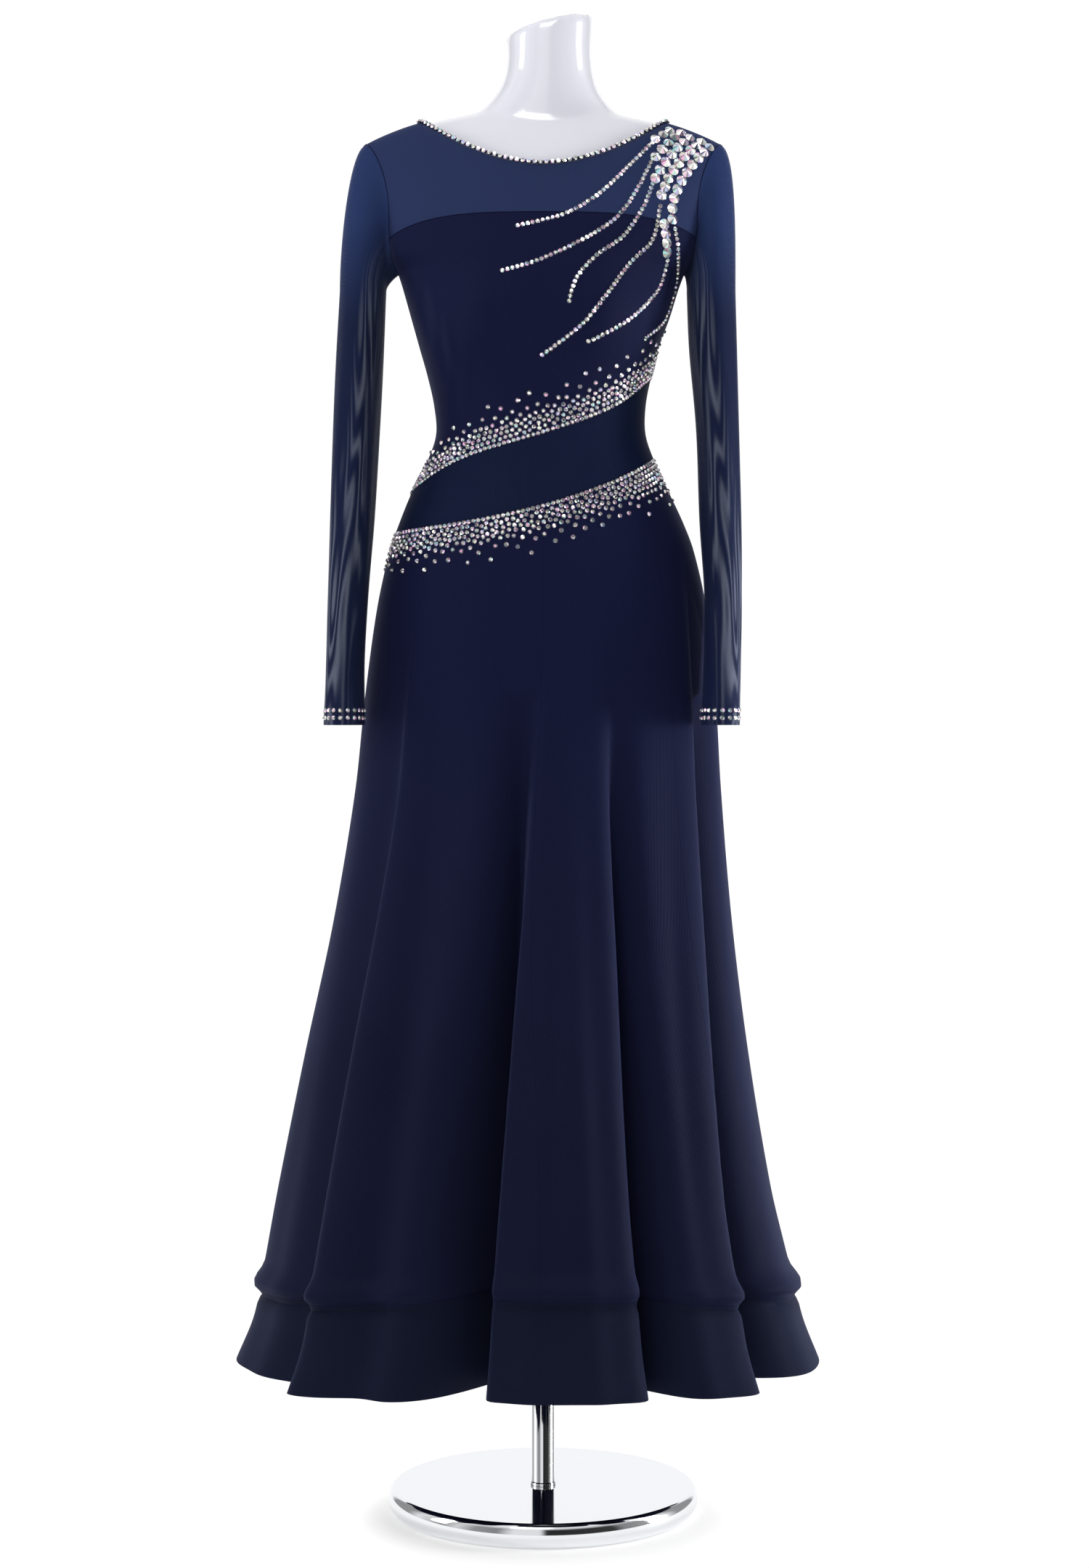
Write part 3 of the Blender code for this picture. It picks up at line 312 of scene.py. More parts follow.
def make_net_group():
    """Height of the net's threads, and the fringes where two layers of it cross."""
    inputs = {"Thread Pitch": THREAD_PITCH, "Across": 38.0, "Down": 3.0, "Rings": 10.0}
    group, start, end = new_tree("net", "Shader", inputs, {"Height": "Float", "Fringe": "Float"})
    split = cloth_place(group)
    waves = []
    stretched = {}
    for axis, stretch in (("X", "Across"), ("Y", "Down")):
        turns = math_node(group, "DIVIDE", (split, axis), (start, "Thread Pitch"))
        waves.append(sine_of_turns(group, turns))
        stretched[axis] = math_node(group, "MULTIPLY", (split, axis), (start, stretch))
    grain_place = (add_node(group, "ShaderNodeCombineXYZ", stretched), 0)
    grain = noise(group, grain_place, 1.0, GRAIN_DETAIL)
    rings = sine_of_turns(group, math_node(group, "MULTIPLY", grain, (start, "Rings")))
    rings_up = math_node(group, "MULTIPLY_ADD", rings, 0.5, 0.5)
    patch_inputs = {0: grain_place, 1: PATCH_STRETCH, 2: PATCH_SHIFT}
    patch_place = (add_node(group, "ShaderNodeVectorMath", patch_inputs, operation="MULTIPLY_ADD"), 0)
    patch = share_between(group, noise(group, patch_place, 1.0, PATCH_DETAIL), PATCH_START, PATCH_END)
    fringe = math_node(group, "MULTIPLY", math_node(group, "POWER", rings_up, FRINGE_POWER), patch)
    set_inputs(group, end, {"Height": math_node(group, "MULTIPLY", *waves), "Fringe": fringe})
    return group


knit_group = make_knit_group()
net_group = make_net_group()
print("shader groups:", knit_group.name, net_group.name)

# %% [markdown]
# ## Cloth finishes
#
# Stretch jersey is matte, but its fibres catch light at a low angle, so the edges of a fold are paler
# than its face. The shader's sheen does this. The sheer net lets the pale form show through as a
# bluer tone, and on the empty sleeves the two layers make light fringes.

# %% Cloth materials
CLOTH_ROUGHNESS = 0.55
CLOTH_SPECULAR = 0.025
SHEEN_TINT = (0.38, 0.46, 1.0, 1.0)
SHEEN_ROUGHNESS = 0.40
BUMP_STRENGTH = 0.35
THREAD_RELIEF = 0.00025


def finish_cloth(tree, shader, colour, height, sheen, cover=1.0):
    """A cloth's colour, fine relief and sheen. cover is how opaque a layer of it is."""
    relief = {"Strength": BUMP_STRENGTH, "Distance": THREAD_RELIEF, "Height": height}
    bump = add_node(tree, "ShaderNodeBump", relief)
    set_inputs(tree, shader, {
        "Base Color": colour, "Normal": (bump, "Normal"), "Alpha": cover,
        "Sheen Weight": sheen, "Sheen Roughness": SHEEN_ROUGHNESS, "Sheen Tint": SHEEN_TINT,
        "Specular IOR Level": CLOTH_SPECULAR,
    })


def make_jersey(name, low, high, sheen):
    material, tree, shader = new_material(name, CLOTH_ROUGHNESS)
    knit = add_node(tree, "ShaderNodeGroup", node_tree=knit_group)
    tone = mixed_colour(tree, (knit, "Tone"), low, high)
    finish_cloth(tree, shader, tone, (knit, "Height"), sheen)
    return material


def make_net(name, low, high, fringe_colour, fringe, cover, sheen):
    """Sheer net. fringe is how strongly the crossing layers show, and cover how opaque a layer is."""
    material, tree, shader = new_material(name, CLOTH_ROUGHNESS)
    knit = add_node(tree, "ShaderNodeGroup", node_tree=knit_group)
    net = add_node(tree, "ShaderNodeGroup", node_tree=net_group)
    tone = mixed_colour(tree, (knit, "Tone"), low, high)
    strength = math_node(tree, "MULTIPLY", (net, "Fringe"), fringe)
    colour = mixed_colour(tree, strength, tone, fringe_colour)
    finish_cloth(tree, shader, colour, (net, "Height"), sheen, cover)
    return material


def tint_above(material, colour, low, high):
    """Blend a cloth's colour into another between two heights."""
    tree = material.node_tree
    shader = tree.nodes["Principled BSDF"]
    link = shader.inputs["Base Color"].links[0]
    cloth_colour = (link.from_node, link.from_socket.name)
    split = add_node(tree, "ShaderNodeSeparateXYZ", {"Vector": object_place(tree)})
    share = share_between(tree, (split, "Z"), low, high)
    set_inputs(tree, shader, {"Base Color": mixed_colour(tree, share, cloth_colour, colour)})


jersey = make_jersey("jersey", (0.0056, 0.0070, 0.0220), (0.0078, 0.0096, 0.0300), sheen=0.10)
# The jersey turns bluer from low on the skirt up to the hip.
tint_above(jersey, (0.0068, 0.0084, 0.0340), 0.40, 1.00)
band_jersey = make_jersey(
    "band_jersey", (0.0058, 0.0076, 0.0205), (0.0078, 0.0100, 0.0260), sheen=0.09)
seam_thread = make_jersey(
    "seam_thread", (0.0040, 0.0050, 0.0215), (0.0060, 0.0072, 0.0300), sheen=0.05)
yoke_net = make_net(
    "yoke_net", (0.0200, 0.0320, 0.0920), (0.0270, 0.0400, 0.1120), (0.03, 0.04, 0.12),
    fringe=0.0, cover=0.86, sheen=0.04)
waist_net = make_net(
    "waist_net", (0.0050, 0.0092, 0.0310), (0.0072, 0.0122, 0.0390), (0.02, 0.03, 0.06),
    fringe=0.05, cover=0.975, sheen=0.04)
sleeve_net = make_net(
    "sleeve_net", (0.0056, 0.0100, 0.0380), (0.0084, 0.0145, 0.0480), (0.130, 0.145, 0.200),
    fringe=0.9, cover=0.80, sheen=0.05)
# The sleeve net is paler and bluer over the sleeve head, where it starts to lie on the form.
tint_above(sleeve_net, (0.0200, 0.0370, 0.1180), 1.30, 1.41)

# %% [markdown]
# ## Hard finishes
#
# The form is a glossy pearl plastic, so it has a clear coat over a soft body. The stand is polished
# chrome: a pale metal with almost no roughness, and a faint brushing so that it isn't a perfect mirror.

# %% Form and chrome materials
PEARL_TONES = ((0.69, 0.69, 0.76), (0.75, 0.75, 0.82))
PEARL_CLOUD_SCALE = 5.0
CHROME_COLOUR = (0.86, 0.87, 0.89, 1.0)
SMUDGE_SCALE = 14.0
SMUDGE_DETAIL = 4.0
SMUDGE_ROUGHNESS = {"To Min": 0.03, "To Max": 0.12}


def make_form_finish():
    material, tree, shader = new_material("pearl_plastic", roughness=0.22)
    cloud = noise(tree, object_place(tree), PEARL_CLOUD_SCALE)
    set_inputs(tree, shader, {
        "Base Color": mixed_colour(tree, cloud, *PEARL_TONES), "IOR": 1.46,
        "Coat Weight": 0.9, "Coat Roughness": 0.10, "Coat IOR": 1.6,
    })
    return material


def make_chrome():
    material, tree, shader = new_material("polished_chrome", roughness=0.06, metallic=1.0)
    smudge = noise(tree, object_place(tree), SMUDGE_SCALE, SMUDGE_DETAIL)
    spread = add_node(tree, "ShaderNodeMapRange", {"Value": smudge, **SMUDGE_ROUGHNESS})
    set_inputs(tree, shader, {"Base Color": CHROME_COLOUR, "Roughness": (spread, "Result")})
    return material


form_finish = make_form_finish()
chrome = make_chrome()
print("materials:", len(bpy.data.materials))

# %% [markdown]
# ## The body's shape
#
# Every cut piece lies on one surface: an outline table gives the half widths and depths of the torso
# and skirt at each height, and a second table gives the shoulders. The tables are the part's own, in
# metres, so that the finer cloth lies where the solids are. A smooth curve is read through each column.

# %% Tables read as smooth curves
class Table:
    """A short table with named columns, read as smooth curves over its first column."""

    def __init__(self, names, rows):
        self.names = names
        self.rows = sorted(rows)
        self.keys = [row[0] for row in self.rows]

    def slope(self, column, index):
        before = max(index - 1, 0)
        after = min(index + 1, len(self.rows) - 1)
        rise = self.rows[after][column] - self.rows[before][column]
        return rise / (self.keys[after] - self.keys[before])

    def read(self, name, key):
        column = self.names.index(name)
        key = min(max(key, self.keys[0]), self.keys[-1])
        index = 0
        while index < len(self.keys) - 2 and key > self.keys[index + 1]:
            index += 1
        span = self.keys[index + 1] - self.keys[index]
        t = (key - self.keys[index]) / span
        value = self.rows[index][column] * (1 + 2 * t) * (1 - t) ** 2
        value += self.slope(column, index) * span * t * (1 - t) ** 2
        value += self.rows[index + 1][column] * t * t * (3 - 2 * t)
        value += self.slope(column, index + 1) * span * t * t * (t - 1)
        return value


outline = Table(("z", "left", "right", "front", "back", "power"), (
    (0.167, 0.337, 0.303, 0.236, 0.238, 2.15),
    (0.210, 0.319, 0.286, 0.229, 0.231, 2.15),
    (0.250, 0.310, 0.276, 0.223, 0.225, 2.15),
    (0.285, 0.304, 0.267, 0.218, 0.220, 2.15),
    (0.357, 0.291, 0.250, 0.207, 0.210, 2.10),
    (0.501, 0.262, 0.226, 0.185, 0.188, 2.05),
    (0.645, 0.231, 0.208, 0.162, 0.163, 2.05),
    (0.789, 0.207, 0.196, 0.137, 0.140, 2.05),
    (0.893, 0.196, 0.190, 0.119, 0.127, 2.10),
    (0.989, 0.183, 0.180, 0.107, 0.123, 2.15),
    (1.053, 0.169, 0.166, 0.100, 0.117, 2.15),
    (1.085, 0.158, 0.154, 0.095, 0.109, 2.15),
    (1.117, 0.145, 0.139, 0.090, 0.098, 2.15),
    (1.149, 0.129, 0.124, 0.087, 0.088, 2.15),
    (1.181, 0.118, 0.113, 0.086, 0.081, 2.15),
    (1.213, 0.120, 0.113, 0.090, 0.079, 2.15),
    (1.245, 0.127, 0.119, 0.098, 0.080, 2.20),
    (1.277, 0.136, 0.127, 0.107, 0.083, 2.25),
    (1.309, 0.145, 0.139, 0.112, 0.085, 2.25),
    (1.341, 0.154, 0.149, 0.110, 0.085, 2.25),
    (1.357, 0.159, 0.155, 0.108, 0.084, 2.25),
))
shoulders = Table(("rise", "edge_x", "edge_front", "edge_back", "front", "back", "turn"), (
    (0.00, 0.1570, 0.0000, 0.0000, 0.108, 0.084, 90.0),
    (0.10, 0.1640, 0.0260, 0.0250, 0.105, 0.085, 86.0),
    (0.25, 0.1670, 0.0410, 0.0400, 0.098, 0.086, 82.0),
    (0.45, 0.1675, 0.0490, 0.0480, 0.087, 0.084, 78.0),
    (0.62, 0.1715, 0.0500, 0.0500, 0.075, 0.079, 76.0),
    (0.78, 0.1790, 0.0450, 0.0460, 0.062, 0.071, 75.0),
    (0.90, 0.1870, 0.0340, 0.0350, 0.046, 0.055, 75.0),
    (0.97, 0.1930, 0.0200, 0.0210, 0.027, 0.033, 75.0),
    (1.00, 0.1970, 0.0003, 0.0003, 0.0004, 0.0004, 75.0),
))
ridge = Table(("x", "z"), (
    (0.000, 1.545), (0.050, 1.542), (0.100, 1.533), (0.139, 1.524), (0.170, 1.513), (0.197, 1.500),
    (0.220, 1.484),
))

# %% [markdown]
# ## The skirt's folds
#
# The skirt is cut in eight flared gores, and the extra width at the hem hangs in flutes. A flute is a
# crest with a valley beside it, so one row describes each pair: where it lies at the hip and at the
# hem, how deep it goes, where it starts and how wide it spreads. Angles go round the body from the
# front, in degrees. Smaller soft pleats lie in the open faces of the flutes.

# %% Folds
UNDERARM_Z = 1.357
HEM_Z = 0.167
BAND_TOP_Z = 0.256
FOLD_TOP_Z = 1.0
FOLD_LIMIT_Z = 1.07
# Over the form the cloth can't sink in by more than a share of its radius
FORM_EDGE_Z = 0.897
FORM_CLEAR_SHARE = 0.9884
BELOW_FORM_SLOPE = 5.0
FOLD_COLUMNS = (
    "hip", "hem", "depth", "start", "spread_left", "spread_right", "crest", "crest_away", "crest_spread",
    "edge_away", "lean",
)
folds = [dict(zip(FOLD_COLUMNS, row)) for row in (
    (-49.3, -48.0, 0.080, 1.060, 14.0, 5.0, 0.105, 6.5, 7.0, 5.5, -3.2),
    (-5.5, -13.3, 0.460, 1.020, 6.5, 5.0, 0.060, -12.0, 7.0, 7.0, -4.2),
    (24.0, 23.2, 0.320, 1.000, 4.5, 5.5, 0.045, -6.0, 6.0, -5.0, 3.8),
    (62.4, 48.8, 0.370, 1.060, 5.0, 9.0, 0.090, -8.5, 9.0, -6.0, 3.2),
    (118.0, 116.0, 0.150, 0.900, 11.0, 6.0, 0.060, 8.0, 7.0, 6.0, -2.0),
    (156.0, 153.0, 0.220, 0.880, 6.0, 12.0, 0.050, -8.0, 7.0, -6.0, 2.0),
    (-160.0, -157.0, 0.200, 0.900, 12.0, 6.0, 0.050, 8.0, 7.0, 6.0, -2.0),
    (-120.0, -118.0, 0.140, 0.920, 6.0, 11.0, 0.070, -8.0, 7.0, -6.0, 2.0),
)]
FOLD_RATE = 1.35
FOLD_EASE = 0.85
SOFT_FOLD_RATE = 1.4
LEAN_RATE = 1.8
LEAN_SPREAD = 4.0
soft_folds = [dict(zip(("hip", "hem", "depth", "start", "spread"), row)) for row in (
    (-36.0, -33.0, 0.022, 0.900, 5.0),
    (-20.0, -24.0, 0.020, 0.960, 3.5),
    (4.0, -4.0, 0.018, 0.930, 1.8),
    (13.5, 14.5, 0.032, 0.950, 2.8),
    (29.5, 29.0, -0.034, 0.720, 2.6),
    (44.0, 37.0, 0.030, 0.860, 3.5),
    (-72.0, -72.0, 0.018, 0.700, 8.0),
    (82.0, 62.0, 0.010, 0.760, 6.0),
    (136.0, 135.0, 0.022, 0.780, 7.0),
    (178.0, -178.0, 0.024, 0.760, 8.0),
    (-138.0, -137.0, 0.022, 0.760, 7.0),
)]


def smooth_step(value):
    value = min(max(value, 0.0), 1.0)
    return value * value * (3 - 2 * value)


def bell(value):
    """1 at 0, and almost nothing beyond 2 on either side."""
    return math.exp(-(value ** 2))


def angle_between(angle, centre):
    return (angle - centre + 180.0) % 360.0 - 180.0


def fold_growth(fold, z, rate):
    return smooth_step((fold["start"] - z) / (fold["start"] - HEM_Z) * rate)


def fold_angle(fold, z):
    drop = smooth_step((FOLD_TOP_Z - z) / (FOLD_TOP_Z - HEM_Z))
    return fold["hip"] + angle_between(fold["hem"], fold["hip"]) * drop


def fold_radius(angle, z):
    """Share by which the folds pull a section in or push it out."""
    share = 1.0
    if z > FOLD_LIMIT_Z:
        return share
    for fold in folds:
        grow = fold_growth(fold, z, FOLD_RATE) ** FOLD_EASE
        centre = fold_angle(fold, z)
        away = angle_between(angle, centre)
        spread = fold["spread_left"] if away < 0 else fold["spread_right"]
        share -= fold["depth"] * grow * bell(away / spread)
        beside = angle_between(angle, centre + fold["crest_away"]) / fold["crest_spread"]
        share += fold["crest"] * grow * bell(beside)
    for fold in soft_folds:
        away = angle_between(angle, fold_angle(fold, z)) / fold["spread"]
        share -= fold["depth"] * fold_growth(fold, z, SOFT_FOLD_RATE) * bell(away)
    deepest = FORM_CLEAR_SHARE - BELOW_FORM_SLOPE * max(0.0, FORM_EDGE_Z - z)
    return max(share, deepest)


def fold_lean(angle, z):
    """How far round the folds' edges lean over the hollows beside them, in degrees."""
    total = 0.0
    if z > FOLD_LIMIT_Z:
        return total
    for fold in folds:
        beside = angle_between(angle, fold_angle(fold, z) + fold["edge_away"]) / LEAN_SPREAD
        total += fold["lean"] * fold_growth(fold, z, LEAN_RATE) * bell(beside)
    return total


# %% Points of the torso, skirt and shoulders
BAND_SEAM_WAVE = 0.013
# Puff above the band's seam and dip under it: depth, height above the seam and spread, in metres
BLOUSE = ((0.0084, 0.010, 0.012), (-0.0064, -0.004, 0.006))
BUST_DEPTH = 0.015
BUST_X = 0.073
BUST_HALF_WIDTH = 0.042
BUST_Z = 1.300
BUST_HALF_HEIGHT = 0.050
UNDERARM_EDGE_X = 0.157
EDGE_BLEND = 0.3
POWER_BLEND = 0.5


def band_seam_z(angle):
    return BAND_TOP_Z + BAND_SEAM_WAVE * math.cos(math.radians(2 * angle))


def blouse(angle, z):
    """How far the skirt stands out above its band's seam, and dips at the seam."""
    over_seam = z - band_seam_z(angle)
    return sum(depth * bell((over_seam - above) / spread) for depth, above, spread in BLOUSE)


def bust(x, y, z):
    if y > 0:
        return 0.0
    across = (abs(x) - BUST_X) / BUST_HALF_WIDTH
    return BUST_DEPTH * math.exp(-(across ** 2) - ((z - BUST_Z) / BUST_HALF_HEIGHT) ** 2)


def section_point(angle, z, out=0.0):
    """Point of the torso or skirt at an angle in degrees and a height, moved out by some metres."""
    turn = math.radians(angle + fold_lean(angle, z))
    sine = math.sin(turn)
    cosine = math.cos(turn)
    power = outline.read("power", z)
    width = outline.read("left" if sine < 0 else "right", z)
    depth = outline.read("front" if cosine > 0 else "back", z)
    scale = (abs(sine) ** power + abs(cosine) ** power) ** (-1 / power)
    scale *= fold_radius(angle, z)
    reach = blouse(angle, z) + out
    x = (width + reach) * sine * scale
    y = -(depth + reach) * cosine * scale
    return Vector((x, y - bust(x, y, z), z))


def shoulder_point(across, rise_angle, front):
    """Point above the underarm. across runs from -1 to 1 between the armholes, and rise_angle from
    0 at the underarm to 90 at the shoulder's ridge."""
    rise = math.sin(math.radians(rise_angle))
    side = "left" if across < 0 else "right"
    edge_x = shoulders.read("edge_x", rise)
    edge_x += (outline.read(side, UNDERARM_Z) - UNDERARM_EDGE_X) * max(0.0, 1 - rise / EDGE_BLEND)
    edge_y = shoulders.read("edge_front" if front else "edge_back", rise)
    centre_y = shoulders.read("front" if front else "back", rise)
    turn = math.radians(shoulders.read("turn", rise))
    power = 2 + (outline.read("power", UNDERARM_Z) - 2) * max(0.0, 1 - rise / POWER_BLEND)
    swing = across * turn
    scale = (abs(math.sin(swing)) ** power + abs(math.cos(swing)) ** power) ** (-1 / power)
    edge_scale = (math.sin(turn) ** power + math.cos(turn) ** power) ** (-1 / power)
    edge_c = math.cos(turn) * edge_scale
    x = edge_x * math.sin(swing) * scale / (math.sin(turn) * edge_scale)
    y = edge_y + (centre_y - edge_y) * (math.cos(swing) * scale - edge_c) / (1 - edge_c)
    z = UNDERARM_Z + (ridge.read("z", abs(x)) - UNDERARM_Z) * rise
    y = -y if front else y
    return Vector((x, y - bust(x, y, z), z))


# %% [markdown]
# ## Cloth pieces
#
# Each piece is a grid of points, one row for each height. The grid becomes a mesh whose map is in
# metres along the cloth, and a Solidify modifier gives it the thickness of the cloth on its inside, so
# the outer face stays where the grid is. The grid also measures the piece: its longest row and column
# are the width and length that it was cut to.

# %% Grids and cloth pieces
CLOTH = 0.0010
BAND_CLOTH = 0.0018
RIM_ANGLE = math.radians(60)
MEASURE_STEP = 4
cut_sizes = {}


def spaced(start, end, count):
    return [start + (end - start) * index / count for index in range(count + 1)]


def run_length(points):
    return sum((after - before).length for before, after in zip(points, points[1:]))


def grid_mesh(name, rows, closed=False):
    """Mesh of a grid of points, with a map in metres along the cloth."""
    columns = len(rows[0])
    mesh = bpy.data.meshes.new(name)
    spans = columns if closed else columns - 1
    faces = []
    for row in range(len(rows) - 1):
        for column in range(spans):
            here = row * columns + column
            beside = row * columns + (column + 1) % columns
            faces.append((here, beside, beside + columns, here + columns))
    mesh.from_pydata([tuple(point) for row in rows for point in row], [], faces)
    across = [[0.0] for row in rows]
    for row, places in zip(rows, across):
        for before, after in zip(row, row[1:] + row[:1]):
            places.append(places[-1] + (after - before).length)
    down = [0.0]
    for above, below in zip(rows, rows[1:]):
        down.append(down[-1] + (below[columns // 2] - above[columns // 2]).length)
    cloth_map = mesh.uv_layers.new(name="cloth")
    for polygon in mesh.polygons:
        row, column = divmod(polygon.vertices[0], columns)
        corners = ((row, column), (row, column + 1), (row + 1, column + 1), (row + 1, column))
        for loop, (r, c) in zip(polygon.loop_indices, corners):
            middle = across[r][-1] / 2
            cloth_map.data[loop].uv = (across[r][c] - middle, down[r])
    return mesh


def turn_outwards(mesh, middle_of):
    """Flip the mesh if its faces look towards its middle line."""
    total = 0.0
    for polygon in mesh.polygons:
        total += polygon.normal.dot(polygon.center - middle_of(polygon.center))
    if total < 0:
        mesh.flip_normals()


def on_pole(point):
    return Vector((0.0, 0.0, point.z))


def sharp_rim_tree():
    """Tree that marks steep edges sharp, so that a sheet's cut rim doesn't darken its face."""
    tree, start, end = new_tree("sharp_rims", "Geometry", {"Sheet": "Geometry"}, {"Sheet": "Geometry"})
    angle = add_node(tree, "GeometryNodeInputMeshEdgeAngle")
    compared = {0: (angle, "Unsigned Angle"), 1: RIM_ANGLE}
    steep = add_node(tree, "FunctionNodeCompare", compared, operation="GREATER_THAN")
    marked = {"Geometry": (start, "Sheet"), "Selection": (steep, "Result"), "Shade Smooth": False}
    sharp = add_node(tree, "GeometryNodeSetShadeSmooth", marked, domain="EDGE")
    set_inputs(tree, end, {"Sheet": (sharp, "Geometry")})
    return tree


sharp_rims = sharp_rim_tree()


def cloth_piece(name, rows, material, thickness=CLOTH, closed=False, middle_of=on_pole):
    """A sewn piece from a grid of points, with its cut size noted."""
    mesh = grid_mesh(name, rows, closed)
    turn_outwards(mesh, middle_of)
    mesh.shade_smooth()
    mesh.materials.append(material)
    piece = add_item(name, mesh)
    solid = piece.modifiers.new("cloth_thickness", "SOLIDIFY")
    solid.thickness = thickness
    solid.offset = -1.0
    piece.modifiers.new("sharp_rims", "NODES").node_group = sharp_rims
    ring_rows = [row + row[:1] for row in rows] if closed else rows
    columns = range(0, len(rows[0]), MEASURE_STEP)
    width = max(run_length(row) for row in ring_rows)
    length = max(run_length([row[column] for row in rows]) for column in columns)
    cut_sizes[name] = (width, length, sum(polygon.area for polygon in mesh.polygons))
    return piece


def declare(piece, node=None):
    """Let a piece ride on the one body, and hide the solid that it stands for, if there is one."""
    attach(piece, "root")
    if node:
        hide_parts(node)


def declare_sheet(piece, node):
    """Let a cloth piece ride on the body in place of its solid, and print the size it was cut to."""
    width, length, area = cut_sizes[piece.name]
    declare(piece, node)
    area = min(area, width * length)
    print(f"{piece.name}: cut {width:.3f} x {length:.3f} m, {area:.4f} m2")


# %% [markdown]
# ## Skirt and hem band
#
# Eight gores hang from the slanting waist seam, and each has its own piece of stiff band below. The
# gore's seam is straight up the body, so a gore is all the points between two angles.

# %% Waist seams
SEAM_GAP = 0.0003
UPPER_CUT = {"mean": 1.1794, "climb": 0.0360, "side_climb": 0.0287, "dip": 0.0054}
LOWER_CUT = {"mean": 1.1145, "climb": 0.0410, "side_climb": 0.0, "dip": 0.0150}
SIDE_CLIMB_POWER = 5


def cut_height(cut, angle):
    """Height of a slanting waist seam at an angle round the body."""
    across = math.sin(math.radians(angle))
    climb = cut["climb"] * across + cut["side_climb"] * across ** SIDE_CLIMB_POWER
    return cut["mean"] + climb - cut["dip"] * (1 - across ** 2)


def upper_seam(angle):
    return cut_height(UPPER_CUT, angle)


def lower_seam(angle):
    return cut_height(LOWER_CUT, angle)


def edge_of(seam, side):
    """A piece's edge just above (1) or below (-1) a seam, read at an angle round the body."""
    return lambda angle: seam(angle) + side * SEAM_GAP / 2


def sheet_rows(angles, count, top_at, bottom_at):
    """Rows of points round the body, from one edge down to another."""
    rows = []
    for share in spaced(0.0, 1.0, count):
        row = []
        for angle in angles:
            top = top_at(angle)
            row.append(section_point(angle, top + (bottom_at(angle) - top) * share))
        rows.append(row)
    return rows


# %% Gores and band pieces
GORE_COUNT = 8
GORE_TURN = 360.0 / GORE_COUNT
GORE_COLUMNS = 64
GORE_ROWS = 150
BAND_ROWS = 14

skirt_pieces = []
for number in range(1, GORE_COUNT + 1):
    angles = spaced(GORE_TURN * (number - 1), GORE_TURN * number, GORE_COLUMNS)
    gore_rows = sheet_rows(angles, GORE_ROWS, edge_of(lower_seam, -1), edge_of(band_seam_z, 1))
    band_rows = sheet_rows(angles, BAND_ROWS, edge_of(band_seam_z, -1), lambda angle: HEM_Z)
    gore = cloth_piece(f"gore_cloth_{number}", gore_rows, jersey)
    band = cloth_piece(f"hem_band_cloth_{number}", band_rows, band_jersey, BAND_CLOTH)
    skirt_pieces.append((gore, band))
print("skirt pieces:", 2 * len(skirt_pieces))

# %% [markdown]
# ## Waist insert, bodice and yoke
#
# The insert is a slanting strip of net between two seams. The bodice starts at its upper edge, runs up
# the torso to the underarm, and then up the chest to the curved seam under the yoke. The yoke runs from
# that seam to the neckline and the shoulder. Above the underarm a point is found by how far across the
# chest it is and how far it has risen towards the shoulder, so a seam at a given height is found by
# halving steps.

# %% Insert
INSERT_COLUMNS = 110
INSERT_ROWS = 14
insert_pieces = []
for label, first in (("front", -90.0), ("back", 90.0)):
    angles = spaced(first, first + 180.0, INSERT_COLUMNS)
    rows = sheet_rows(angles, INSERT_ROWS, edge_of(upper_seam, -1), edge_of(lower_seam, 1))
    insert_pieces.append(cloth_piece(f"waist_insert_cloth_{label}", rows, waist_net))

# %% Necklines and the yoke's seam
SHOULDER_POINT_X = 0.139
NECK_FRONT_Z = 1.4655
NECK_BACK_Z = 1.4980
CHEST_EDGE_X = 0.1675
TOP_RISE = 89.6
NECK_CURVE = 1.9
STYLE_Z = 1.411
STYLE_DROP = 0.020
HALVINGS = 36
NECK_COLUMNS = 84
SIDE_COLUMNS = 14
AT_CORNER = 1e-6


def halve(test, low, high):
    """Place between low and high where test turns from true to false."""
    for _ in range(HALVINGS):
        middle = (low + high) / 2
        if test(middle):
            low = middle
        else:
            high = middle
    return (low + high) / 2


def rise_for_height(across, front, height_at):
    def below(rise):
        point = shoulder_point(across, rise, front)
        return point.z < height_at(point.x)
    return halve(below, 0.0, 90.0)


def neck_height(x, front):
    lowest = NECK_FRONT_Z if front else NECK_BACK_Z
    corner = ridge.read("z", SHOULDER_POINT_X)
    return lowest + (corner - lowest) * (abs(x) / SHOULDER_POINT_X) ** NECK_CURVE


def style_height(x):
    return STYLE_Z - STYLE_DROP * min(abs(x) / CHEST_EDGE_X, 1.0) ** 4


CORNER = halve(lambda across: shoulder_point(across, 90.0, True).x < SHOULDER_POINT_X, 0.0, 1.0)


def top_rise(across, front):
    """Rise angle of the yoke's upper edge: the neckline, or the shoulder seam beside it."""
    if abs(across) >= CORNER - AT_CORNER:
        return TOP_RISE
    return min(rise_for_height(across, front, lambda x: neck_height(x, front)), TOP_RISE)


neck_places = [CORNER * math.sin(math.radians(turn)) for turn in spaced(-90.0, 90.0, NECK_COLUMNS)]
left_places = spaced(-1.0, -CORNER, SIDE_COLUMNS)[:-1]
right_places = spaced(CORNER, 1.0, SIDE_COLUMNS)[1:]
chest_columns = left_places + neck_places + right_places
print("shoulder corner at", round(CORNER, 3), "of the way across")

